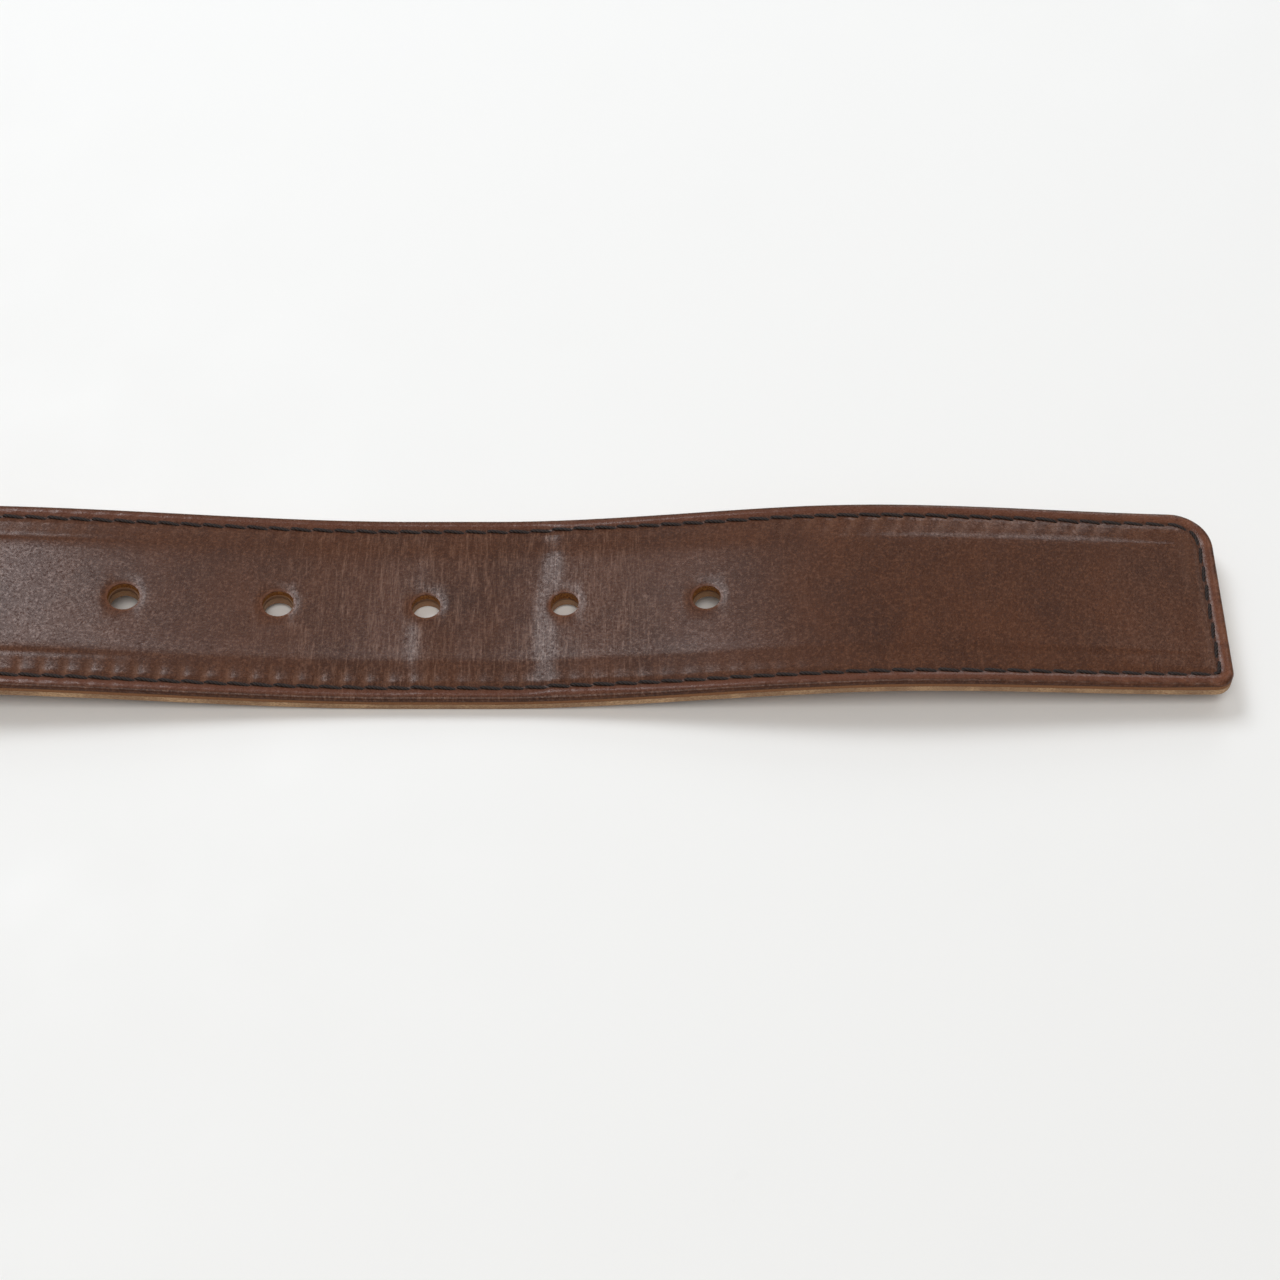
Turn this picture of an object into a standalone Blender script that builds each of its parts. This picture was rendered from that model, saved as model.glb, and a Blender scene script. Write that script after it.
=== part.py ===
"""Leather belt, 38 mm wide: a lined and padded strap with five holes, a heel-bar buckle, a keeper and screws.

It lies as it was put down. The tip lies flat on the table, face up. Then the strap turns up on its long edge,
and the rest stands in an open loop, face outwards, with the buckle at the end. Metres, +Z up, table at Z = 0.

The leather is cut flat and then laid. In the flat, A is the length along a layer from the tip, Y is the place
across the strap and N is the height over the bond line between the leathers. The buckle end has axes of its
own, with its origin on the bar: U along the strap and away from the tip, Y across it and N out of its face.
"""

import math

import bmesh
import bpy
import numpy as np
from mathutils import Matrix, Vector

MM = 0.001
GAP = 0.3 * MM  # between pieces that touch
NEAR = 0.01 * MM  # points closer than this are one point

# Strap
STRAP_WIDTH = 38 * MM
OUTER_THICKNESS = 1.4 * MM
LINING_THICKNESS = 1.4 * MM
FILLER_THICKNESS = 0.6 * MM
FILLER_WIDTH = 23.4 * MM
FILLER_TIP_MARGIN = 12 * MM
CROWN_SLOPE = 2.2 * MM  # width of the slope beside the filler
TIP_TAPER = 0.9 * MM  # lost on each side at the tip
TIP_TAPER_LENGTH = 70 * MM
TIP_RADIUS_FAR = 7 * MM
TIP_RADIUS_NEAR = 3 * MM
CORNER_STEPS = 5

# Holes
FITTED_LENGTH = 950 * MM  # bar to middle hole, the size that the belt is sold by
TIP_TO_FIRST_HOLE = 87.8 * MM
HOLE_PITCHES = (24.4 * MM, 23.9 * MM, 25.4 * MM, 26.2 * MM)  # from the tip on, as wear has drawn them
HOLE_DIAMETER = 5 * MM
HOLE_STEPS = 16

# Stitching
STITCH_INSET = 2.4 * MM
THREAD_WIDTH = 0.7 * MM
THREAD_HEIGHT = 0.45 * MM
STITCH_END_MARGIN = 15 * MM  # from the bar

# Buckle bar, and the fold of outer leather around it
BAR_DIAMETER = 3.5 * MM
LINING_END_MARGIN = 13 * MM  # from the bar, clear of the prong
FLAP_LENGTH = 76 * MM
FOLD_STEPS = 8
SLOT_LENGTH = 30 * MM
SLOT_SIDE_GAP = 0.9 * MM

# Buckle frame
FRAME_SIDE_GAP = 1.5 * MM  # strap edge to side rail
FRAME_RAIL_WIDTH = 5.5 * MM
FRAME_THICKNESS = 4 * MM
FRAME_REACH = 40 * MM  # bar to the outside of the front rail
FRAME_HEEL = 3.6 * MM  # side rail behind the bar
FRAME_CORNER_RADIUS = 9 * MM
FRAME_RISE = 3.5 * MM  # front rail over the bar
FRAME_BEVEL = 1.3 * MM
BAR_SEAT_DEPTH = 3.6 * MM  # of the bar's blind hole in each side rail

# Prong
PRONG_WIDTH = 5.2 * MM
PRONG_WALL = 1.5 * MM
PRONG_THICKNESS = 2.2 * MM
PRONG_OVERHANG = 1.5 * MM
PRONG_TIP_WIDTH = 3.2 * MM

# Keeper
KEEPER_WIDTH = 12 * MM
KEEPER_THICKNESS = 1.4 * MM
KEEPER_SIDE_GAP = 0.6 * MM
KEEPER_PASSAGE = 4.6 * MM  # over the strap, for the tip
KEEPER_CORNER_RADIUS = 2.4 * MM
KEEPER_PLAY = 4 * MM  # each way along the strap

# Screws
SCREW_FROM_BAR = 17 * MM
SCREW_HEAD_DIAMETER = 9.5 * MM
SCREW_HEAD_HEIGHT = 1.5 * MM
SCREW_HEAD_RIM = 0.6 * MM
POST_DIAMETER = 5 * MM
SCREW_DIAMETER = 3 * MM
SCREW_SLOT_WIDTH = 1 * MM
SCREW_SLOT_DEPTH = 0.7 * MM
SCREW_ROOM = 0.5 * MM  # from the screw's end to the bottom of the post's bore

# Worked out from the sizes above
HALF_WIDTH = STRAP_WIDTH / 2
CROWN = FILLER_THICKNESS + GAP
FACE = GAP / 2 + OUTER_THICKNESS  # N of the face, where there is no filler
BACK = -GAP / 2 - LINING_THICKNESS  # N of the back
BAR_A = TIP_TO_FIRST_HOLE + sum(HOLE_PITCHES[:2]) + FITTED_LENGTH
FOLD_INSIDE = BAR_DIAMETER / 2 + GAP
FOLD_MIDDLE = FOLD_INSIDE + OUTER_THICKNESS / 2
FLAP_A = BAR_A + math.pi * FOLD_MIDDLE  # where the fold has turned back and the flap starts
BAR_N = GAP / 2 - FOLD_INSIDE
FLAP_TOP = BACK - GAP  # N of the flap's inner side, where it is drawn up to the lining
KEEPER_FROM_BAR = SCREW_FROM_BAR + SCREW_HEAD_DIAMETER / 2 + 5.25 * MM + KEEPER_PLAY + KEEPER_WIDTH / 2
SECOND_SCREW_FROM_BAR = 2 * KEEPER_FROM_BAR - SCREW_FROM_BAR
STITCH_END = BAR_A - STITCH_END_MARGIN
GROOVE_WIDTH = THREAD_WIDTH + 2 * GAP
GROOVE_DEPTH = THREAD_HEIGHT + GAP

# Where the strap lies, by the length from the tip
STRAIGHT_END = 88 * MM  # straight stretch before the bar
PADDED_END = BAR_A - STRAIGHT_END - 2 * MM
CROWN_START = FILLER_TIP_MARGIN / 2
CROWN_END = PADDED_END + 9 * MM
TWIST_START = 226 * MM
TWIST_END = 410 * MM
FRAME_BELOW_STRAP = FRAME_SIDE_GAP + FRAME_RAIL_WIDTH
TABLE_GAPS = (  # (length, height of the lower side over the table)
    (0, 3.0 * MM),
    (55 * MM, 5.1 * MM),
    (125 * MM, 0),
    (139 * MM, 0),
    (222 * MM, 4.7 * MM),
    (330 * MM, 0),
    (BAR_A - 310 * MM, 0),
    (BAR_A - STRAIGHT_END, FRAME_BELOW_STRAP),
)
LOOP_START = 365 * MM
LOOP_RADIUS = 134 * MM  # mean radius, at which a shorter belt's loop stays more open and clears its tail
LOOP_TURN = min(math.radians(270), (BAR_A - STRAIGHT_END - LOOP_START) / LOOP_RADIUS)
LOOP_BENDS = (  # (length, curvature as a share of the loop's first bend)
    (LOOP_START, 0),
    (440 * MM, 1),
    (BAR_A - 286.1 * MM, 1),
    (BAR_A - 216.1 * MM, 1.5),
    (BAR_A - STRAIGHT_END - 40 * MM, 1.5),
    (BAR_A - STRAIGHT_END, 0),
)
ROUTE_STEP = 0.5 * MM
TAIL_STEP = 9 * MM
TWIST_STEP = 8 * MM
LOOP_STEP = 17 * MM
FLAP_STEP = 2.3 * MM
FLAT_ANGLE = math.radians(0.1)
TWIST_LINES = tuple(share * FILLER_WIDTH / 2 for share in (-2 / 3, -1 / 3, 0, 1 / 3, 2 / 3))

MATERIALS = {  # name: (colour, roughness, metallic)
    "outer_leather": ((0.105, 0.046, 0.024), 0.42, 0.0),
    "lining_leather": ((0.42, 0.24, 0.11), 0.75, 0.0),
    "filler_board": ((0.30, 0.21, 0.13), 0.85, 0.0),
    "black_thread": ((0.012, 0.011, 0.011), 0.6, 0.0),
    "buckle_nickel": ((0.50, 0.47, 0.43), 0.3, 1.0),
    "screw_nickel": ((0.55, 0.52, 0.48), 0.28, 1.0),
}


def smooth(share):
    """0 to 1 with level ends."""
    share = np.clip(share, 0.0, 1.0)
    return share * share * (3 - 2 * share)


def eased(at, points):
    """Reads (place, value) points at the places, level at each point and eased between them."""
    places, values = np.array(points, float).T
    at = np.clip(at, places[0], places[-1])
    left = np.clip(np.searchsorted(places, at, side="right") - 1, 0, len(places) - 2)
    share = smooth((at - places[left]) / (places[left + 1] - places[left]))
    return values[left] + share * (values[left + 1] - values[left])


def unit(vectors):
    return vectors / np.linalg.norm(vectors, axis=-1, keepdims=True)


class LaidStrap:
    """Where the strap lies: its bond line's middle, and its directions along, across and out of its face."""

    def __init__(self):
        self.lengths = np.arange(0, BAR_A + ROUTE_STEP, ROUTE_STEP)
        twist = math.pi / 2 * smooth((self.lengths - TWIST_START) / (TWIST_END - TWIST_START))
        height = eased(self.lengths, TABLE_GAPS) - BACK * np.cos(twist) + HALF_WIDTH * np.sin(twist)
        bend = np.interp(self.lengths, *np.array(LOOP_BENDS, float).T)
        heading = math.pi - LOOP_TURN * np.cumsum(bend) / np.sum(bend)
        rise = np.gradient(height, ROUTE_STEP)
        level = np.sqrt(1 - rise**2)
        steps = np.stack([np.cos(heading) * level, np.sin(heading) * level, rise], 1) * ROUTE_STEP
        middle = np.cumsum(steps, 0)
        middle[:, 2] = height
        self.along = unit(steps)
        outwards = np.stack([-np.sin(heading), np.cos(heading), 0 * heading], 1)
        upright = np.array([0, 0, 1.0])
        face = np.cos(twist)[:, None] * upright + np.sin(twist)[:, None] * outwards
        face = unit(face - self.along * np.sum(face * self.along, 1, keepdims=True))
        self.face = face
        self.across = -np.cross(self.face, self.along)
        sides = [
            middle + y * self.across + n * self.face
            for y in (-HALF_WIDTH, 0, HALF_WIDTH)
            for n in (BACK, FACE + CROWN)
        ]
        low, high = np.min(sides, (0, 1)), np.max(sides, (0, 1))
        self.middle = middle - np.array([*((low + high) / 2)[:2], 0])

    def at(self, a, y, n):
        """The laid place of a flat point on the straight run up to the bar, or past it in line with it."""
        place = a / ROUTE_STEP
        left = int(min(max(place, 0), len(self.lengths) - 2))
        share = min(max(place - left, 0.0), 1.0)
        middle, along, across, face = (
            values[left] * (1 - share) + values[left + 1] * share
            for values in (self.middle, self.along, self.across, self.face)
        )
        return middle + y * across + n * face

    def end_matrix(self):
        """The buckle end's own axes U, Y and N, with the origin on the bar."""
        origin = self.at(BAR_A, 0, BAR_N)
        columns = [self.along[-1], self.across[-1], self.face[-1]]
        # U, Y and N are left-handed, so the pieces take -Y as their second axis.
        matrix = Matrix.Identity(4)
        for index, column in enumerate((columns[0], -columns[1], columns[2], origin)):
            for row in range(3):
                matrix[row][index] = float(column[row])
        return matrix


STRAP = LaidStrap()


def crown(a, y):
    """How far the filler lifts the outer leather."""
    ends = smooth((a - CROWN_START) / (FILLER_TIP_MARGIN - GAP - CROWN_START))
    ends *= smooth((CROWN_END - a) / (CROWN_END - PADDED_END - GAP))
    return CROWN * float(ends) * min(max((FILLER_WIDTH / 2 + GAP + CROWN_SLOPE - abs(y)) / CROWN_SLOPE, 0), 1)


def flap_lift(from_bar):
    """How far the flap is drawn up to the lining: fully under the screws, and clear of the keeper."""
    drawn = FLAP_TOP - (BAR_N - FOLD_INSIDE)
    keeper_room = drawn - KEEPER_THICKNESS - GAP
    head = SCREW_HEAD_DIAMETER / 2 + GAP
    plateau = KEEPER_WIDTH / 2 + KEEPER_PLAY + 0.5 * MM
    return float(
        eased(
            from_bar,
            (
                (0, 0),
                (SCREW_FROM_BAR - head, drawn),
                (SCREW_FROM_BAR + head, drawn),
                (KEEPER_FROM_BAR - plateau, keeper_room),
                (KEEPER_FROM_BAR + plateau, keeper_room),
                (SECOND_SCREW_FROM_BAR - head, drawn),
                (FLAP_LENGTH + GAP, drawn),
            ),
        )
    )


def lay_strap(a, y, n):
    return STRAP.at(a, y, n)


def lay_outer(a, y, n):
    """Lays the outer leather: over the filler, around the bar, and back under the lining as the flap."""
    if a <= BAR_A:
        return STRAP.at(a, y, n + crown(a, y))
    depth = n - GAP / 2
    if a < FLAP_A:
        turn = (a - BAR_A) / FOLD_MIDDLE
        return STRAP.at(BAR_A, y, BAR_N + (FOLD_INSIDE + depth) * math.cos(turn)) + (
            FOLD_INSIDE + depth
        ) * math.sin(turn) * STRAP.along[-1]
    from_bar = a - FLAP_A
    return STRAP.at(BAR_A - from_bar, y, BAR_N - FOLD_INSIDE - depth + flap_lift(from_bar))


def circle(a, y, diameter, steps=HOLE_STEPS):
    turns = [2 * math.pi * (step + 0.5) / steps for step in range(steps)]
    return [(a + diameter / 2 * math.cos(turn), y + diameter / 2 * math.sin(turn)) for turn in turns]


def oblong(a, length, width, steps=6):
    """An outline with round ends, along A."""
    centre, radius = (length - width) / 2, width / 2
    points = []
    for side in (1, -1):
        for step in range(steps + 1):
            turn = math.pi * (step / steps - 0.5)
            points.append((a + side * (centre + radius * math.cos(turn)), side * radius * math.sin(turn)))
    return points


def strap_side(inset, end):
    """The strap's outline moved in by inset: from its end on the far side, around the tip and back."""
    wide = HALF_WIDTH - inset
    tip = wide - TIP_TAPER
    points = [(end, wide), (TIP_TAPER_LENGTH, wide)]
    for radius, side in ((TIP_RADIUS_FAR, 1), (TIP_RADIUS_NEAR, -1)):
        radius = max(radius - inset, 0.8 * MM)
        arc = []
        for step in range(CORNER_STEPS + 1):
            turn = math.pi / 2 * step / CORNER_STEPS
            arc.append((inset + radius * (1 - math.sin(turn)), side * (tip - radius * (1 - math.cos(turn)))))
        points += arc if side > 0 else arc[::-1]
    return points + [(TIP_TAPER_LENGTH, -wide), (end, -wide)]


def stitch_band(width):
    """The outline of the stitch row, which runs along both sides and around the tip."""
    outside = strap_side(STITCH_INSET - width / 2, STITCH_END)
    inside = strap_side(STITCH_INSET + width / 2, STITCH_END)
    return outside + inside[::-1]


def material(name):
    made = bpy.data.materials.get(name)
    if made is None:
        colour, roughness, metallic = MATERIALS[name]
        made = bpy.data.materials.new(name)
        made.use_nodes = True
        shader = made.node_tree.nodes["Principled BSDF"]
        shader.inputs["Base Color"].default_value = (*colour, 1)
        shader.inputs["Roughness"].default_value = roughness
        shader.inputs["Metallic"].default_value = metallic
        made.diffuse_color = (*colour, 1)
    return made


def evaluated_mesh(obj):
    """The object's mesh with its curve filled and its modifiers applied. The object is removed."""
    bpy.context.view_layer.update()
    mesh = bpy.data.meshes.new_from_object(obj.evaluated_get(bpy.context.evaluated_depsgraph_get()))
    bpy.data.objects.remove(obj)
    shape = bmesh.new()
    shape.from_mesh(mesh)
    bpy.data.meshes.remove(mesh)
    bmesh.ops.remove_doubles(shape, verts=shape.verts, dist=NEAR)
    return shape


def plate(outlines, low, high):
    """A flat plate from low to high. The first outline goes around it and the others are its holes."""
    curve = bpy.data.curves.new("plate", "CURVE")
    curve.dimensions = "2D"
    curve.fill_mode = "BOTH"
    curve.extrude = (high - low) / 2
    for outline in outlines:
        spline = curve.splines.new("POLY")
        spline.points.add(len(outline) - 1)
        for point, (across, up) in zip(spline.points, outline):
            point.co = (across, up, 0, 1)
        spline.use_cyclic_u = True
    obj = bpy.data.objects.new("plate", curve)
    bpy.context.scene.collection.objects.link(obj)
    shape = evaluated_mesh(obj)
    bpy.data.curves.remove(curve)
    bmesh.ops.translate(shape, verts=shape.verts, vec=(0, 0, (low + high) / 2))
    bmesh.ops.recalc_face_normals(shape, faces=shape.faces)
    return shape


def grooved_plate(outlines, band, base, grooved, floor):
    """A flat plate from base to grooved. A groove along the band goes down from grooved to floor."""
    shape = bmesh.new()
    loops = []
    for outline in [*outlines, band]:
        verts = [shape.verts.new((across, up, base)) for across, up in outline]
        loops.append([shape.edges.new(pair) for pair in zip(verts, verts[1:] + verts[:1])])
    every_edge = [edge for loop in loops for edge in loop]
    bmesh.ops.triangle_fill(shape, edges=every_edge, normal=(0, 0, 1), use_beauty=True)
    for item in bmesh.ops.triangle_fill(shape, edges=loops[-1], normal=(0, 0, 1), use_beauty=True)["geom"]:
        if isinstance(item, bmesh.types.BMFace):
            item.material_index = 1
    raised = raise_faces(shape, shape.faces[:], grooved - base)
    lid = [face for face in raised if face.material_index == 1]
    raise_faces(shape, lid, floor - grooved)
    bmesh.ops.delete(shape, geom=lid, context="FACES")
    for face in shape.faces:
        face.material_index = 0
    bmesh.ops.recalc_face_normals(shape, faces=shape.faces)
    return shape


def raise_faces(shape, faces, height):
    """Extrudes the faces along N and returns the raised ones."""
    made = bmesh.ops.extrude_face_region(shape, geom=faces)["geom"]
    verts = [item for item in made if isinstance(item, bmesh.types.BMVert)]
    bmesh.ops.translate(shape, verts=verts, vec=(0, 0, height))
    return [item for item in made if isinstance(item, bmesh.types.BMFace)]


def cut_from(shape, cutters):
    """Cuts the cutters from the shape and returns the rest."""
    body = linked(shape, "body")
    tools = [linked(cutter, "cutter") for cutter in cutters]
    for tool in tools:
        cut = body.modifiers.new("cut", "BOOLEAN")
        cut.operation = "DIFFERENCE"
        cut.object = tool
    rest = evaluated_mesh(body)
    for tool in tools:
        bpy.data.objects.remove(tool)
    return rest


def linked(shape, name):
    mesh = bpy.data.meshes.new(name)
    shape.to_mesh(mesh)
    shape.free()
    obj = bpy.data.objects.new(name, mesh)
    bpy.context.scene.collection.objects.link(obj)
    return obj


def slice_at(shape, axis, places, first=-1.0, last=10.0):
    """Adds edges where the planes across the axis cross the faces between first and last along A."""
    normal = Vector((0, 0, 0))
    normal[axis] = 1
    for place in places:
        faces = [face for face in shape.faces if first < face.calc_center_median().x < last]
        around = {edge for face in faces for edge in face.edges}
        around |= {vert for face in faces for vert in face.verts}
        cut = faces + list(around)
        bmesh.ops.bisect_plane(shape, geom=cut, dist=NEAR, plane_co=normal * place, plane_no=normal)


def stations(end):
    """Where the laid leather bends, as lengths from the tip up to end."""
    found = list(np.arange(TAIL_STEP, TWIST_START, TAIL_STEP))
    found += [place for place, _ in TABLE_GAPS[2:4]]
    found += list(np.arange(TWIST_START, TWIST_END, TWIST_STEP))
    loop_end = BAR_A - STRAIGHT_END
    found += list(np.linspace(TWIST_END, loop_end, round((loop_end - TWIST_END) / LOOP_STEP)))
    found += [CROWN_START, FILLER_TIP_MARGIN]
    found += list(np.linspace(PADDED_END, CROWN_END, 4))
    return sorted(place for place in found if place < end - 1 * MM)


def lay(shape, lay_point, places, crown_lines=()):
    """Slices a flat layer at the places where it bends, and moves each of its points to where it lies."""
    bmesh.ops.dissolve_limit(shape, angle_limit=FLAT_ANGLE, verts=shape.verts, edges=shape.edges)
    slice_at(shape, 0, places)
    slice_at(shape, 1, crown_lines, last=CROWN_END)
    slice_at(shape, 1, TWIST_LINES, TWIST_START - NEAR, TWIST_END + NEAR)
    for vert in shape.verts:
        vert.co = lay_point(*vert.co)
    bmesh.ops.reverse_faces(shape, faces=shape.faces)
    return shape


def add_piece(collection, name, shape, material_name, parent=None, crease=math.radians(35)):
    obj = linked(shape, name)
    bpy.context.scene.collection.objects.unlink(obj)
    collection.objects.link(obj)
    obj.data.materials.append(material(material_name))
    obj.data.shade_smooth()
    obj.data.set_sharp_from_angle(angle=crease)
    obj.parent = parent
    return obj


def hole_places():
    place = TIP_TO_FIRST_HOLE
    found = [place]
    for pitch in HOLE_PITCHES:
        place += pitch
        found.append(place)
    return found


def screw_hole(a):
    return circle(a, 0, POST_DIAMETER + 2 * GAP)


def add_outer(collection):
    """The face leather, which folds around the bar and ends in the flap."""
    end = FLAP_A + FLAP_LENGTH
    holes = [circle(place, 0, HOLE_DIAMETER) for place in hole_places()]
    for from_bar in (SCREW_FROM_BAR, SECOND_SCREW_FROM_BAR):
        holes += [screw_hole(BAR_A - from_bar), screw_hole(FLAP_A + from_bar)]
    holes.append(oblong((BAR_A + FLAP_A) / 2, SLOT_LENGTH, PRONG_WIDTH + 2 * SLOT_SIDE_GAP))
    shape = grooved_plate(
        [strap_side(0, end), *holes], stitch_band(GROOVE_WIDTH), GAP / 2, FACE, FACE - GROOVE_DEPTH
    )
    fold = [BAR_A + (FLAP_A - BAR_A) * step / FOLD_STEPS for step in range(FOLD_STEPS + 1)]
    flap = [FLAP_A + place for place in np.arange(FLAP_STEP, SECOND_SCREW_FROM_BAR, FLAP_STEP)]
    slope = FILLER_WIDTH / 2 + GAP
    crown_lines = (-slope - CROWN_SLOPE, -slope, slope, slope + CROWN_SLOPE)
    laid = lay(shape, lay_outer, stations(BAR_A) + fold + flap, crown_lines)
    add_piece(collection, "outer_leather", laid, "outer_leather")


def add_lining(collection):
    end = BAR_A - LINING_END_MARGIN
    holes = [circle(place, 0, HOLE_DIAMETER) for place in hole_places()]
    holes += [screw_hole(BAR_A - from_bar) for from_bar in (SCREW_FROM_BAR, SECOND_SCREW_FROM_BAR)]
    shape = grooved_plate(
        [strap_side(0, end), *holes], stitch_band(GROOVE_WIDTH), -GAP / 2, BACK, BACK + GROOVE_DEPTH
    )
    add_piece(collection, "lining_leather", lay(shape, lay_strap, stations(end)), "lining_leather")


def add_filler(collection):
    half = FILLER_WIDTH / 2
    start = FILLER_TIP_MARGIN
    outline = [(start, -half), (PADDED_END, -half), (PADDED_END, half), (start, half)]
    holes = [circle(place, 0, HOLE_DIAMETER) for place in hole_places()]
    shape = plate([outline, *holes], GAP / 2, GAP / 2 + FILLER_THICKNESS)
    add_piece(collection, "filler_strip", lay(shape, lay_strap, stations(PADDED_END)), "filler_board")


def add_threads(collection):
    """The two threads of the lockstitch, each sunk in its groove."""
    floor = FACE - GROOVE_DEPTH + GAP
    upper = plate([stitch_band(THREAD_WIDTH)], floor, floor + THREAD_HEIGHT)
    add_piece(collection, "face_thread", lay(upper, lay_outer, stations(STITCH_END)), "black_thread")
    ceiling = BACK + GROOVE_DEPTH - GAP
    lower = plate([stitch_band(THREAD_WIDTH)], ceiling - THREAD_HEIGHT, ceiling)
    add_piece(collection, "back_thread", lay(lower, lay_strap, stations(STITCH_END)), "black_thread")


def turned(profile, steps=24):
    """A solid turned about Z from a closed profile of (radius, height) points."""
    shape = bmesh.new()
    verts = [shape.verts.new((radius, 0, height)) for radius, height in profile]
    edges = [shape.edges.new(pair) for pair in zip(verts, verts[1:])]
    full = 2 * math.pi
    bmesh.ops.spin(
        shape, geom=verts + edges, axis=(0, 0, 1), cent=(0, 0, 0), steps=steps, angle=full, use_merge=True
    )
    bmesh.ops.remove_doubles(shape, verts=shape.verts, dist=NEAR)
    bmesh.ops.recalc_face_normals(shape, faces=shape.faces)
    return shape


def screw_head(base, outwards):
    """Points of a low domed head from its rim to its middle, standing on base and rising outwards."""
    radius = SCREW_HEAD_DIAMETER / 2
    dome = SCREW_HEAD_HEIGHT - SCREW_HEAD_RIM
    points = [(radius, base), (radius, base + outwards * SCREW_HEAD_RIM)]
    for step in range(1, 5):
        turn = math.pi / 2 * step / 4
        points.append((radius * math.cos(turn), base + outwards * (SCREW_HEAD_RIM + dome * math.sin(turn))))
    points[-1] = (0, points[-1][1])
    return points


def add_screws(collection, end):
    """Two post and screw pairs, which hold the flap shut around the buckle bar."""
    face, flap_face = FACE - BAR_N, FLAP_TOP - OUTER_THICKNESS - BAR_N
    bore_bottom = face - GAP
    for label, from_bar in (("front", SCREW_FROM_BAR), ("rear", SECOND_SCREW_FROM_BAR)):
        bore, barrel = SCREW_DIAMETER / 2 + GAP, POST_DIAMETER / 2
        sleeve = [(0, bore_bottom), (bore, bore_bottom), (bore, flap_face), (barrel, flap_face)]
        post = turned([*sleeve, (barrel, face + GAP), *screw_head(face + GAP, 1)])
        shank, tip = SCREW_DIAMETER / 2, bore_bottom - SCREW_ROOM
        base = flap_face - GAP
        screw = turned([(0, tip), (shank, tip), (shank, base), *screw_head(base, -1)])
        slot = bmesh.new()
        slot_size = (2 * SCREW_HEAD_DIAMETER, SCREW_SLOT_WIDTH, 2 * SCREW_SLOT_DEPTH)
        bmesh.ops.create_cube(slot, size=1)
        bmesh.ops.scale(slot, verts=slot.verts, vec=slot_size)
        bmesh.ops.translate(slot, verts=slot.verts, vec=(0, 0, base - SCREW_HEAD_HEIGHT))
        screw = cut_from(screw, [slot])
        for name, shape in (("screw_post", post), ("screw", screw)):
            bmesh.ops.translate(shape, verts=shape.verts, vec=(-from_bar, 0, 0))
            add_piece(collection, f"{label}_{name}", shape, "screw_nickel", end)


def rounded_box(low_u, high_u, half, radius, steps=6):
    """A closed outline around U from low to high and Y from -half to half."""
    points = []
    for quarter, (u, y) in enumerate(((high_u, half), (low_u, half), (low_u, -half), (high_u, -half))):
        centre_u = u - math.copysign(radius, 1 if u == high_u else -1)
        centre_y = y - math.copysign(radius, y)
        for step in range(steps + 1):
            turn = math.pi / 2 * (quarter + step / steps)
            points.append((centre_u + radius * math.cos(turn), centre_y + radius * math.sin(turn)))
    return points


def add_keeper(collection, end):
    """A leather ring around the strap, held between the screws under the flap."""
    low = FLAP_TOP - BAR_N - KEEPER_THICKNESS
    high = FACE - BAR_N + KEEPER_PASSAGE + KEEPER_THICKNESS
    half = HALF_WIDTH + KEEPER_SIDE_GAP + KEEPER_THICKNESS
    wall = KEEPER_THICKNESS
    outlines = [
        rounded_box(low, high, half, KEEPER_CORNER_RADIUS),
        rounded_box(low + wall, high - wall, half - wall, KEEPER_CORNER_RADIUS - wall),
    ]
    shape = plate(outlines, -KEEPER_WIDTH / 2, KEEPER_WIDTH / 2)
    # The outline lies in X and Y with its width along Z: X goes to N, and Z to U.
    bmesh.ops.rotate(shape, verts=shape.verts, cent=(0, 0, 0), matrix=Matrix.Rotation(-math.pi / 2, 3, "Y"))
    bmesh.ops.translate(shape, verts=shape.verts, vec=(-KEEPER_FROM_BAR, 0, 0))
    add_piece(collection, "keeper", shape, "outer_leather", end)


def rod_across(diameter, length, middle=0.0):
    """A round rod along Y."""
    rod = bmesh.new()
    bmesh.ops.create_cone(
        rod, cap_ends=True, segments=HOLE_STEPS, radius1=diameter / 2, radius2=diameter / 2, depth=length
    )
    bmesh.ops.rotate(rod, verts=rod.verts, cent=(0, 0, 0), matrix=Matrix.Rotation(math.pi / 2, 3, "X"))
    bmesh.ops.translate(rod, verts=rod.verts, vec=(0, middle, 0))
    return rod


def frame_rise(u):
    return FRAME_RISE * float(smooth(u / (FRAME_REACH - FRAME_RAIL_WIDTH)))


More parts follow.
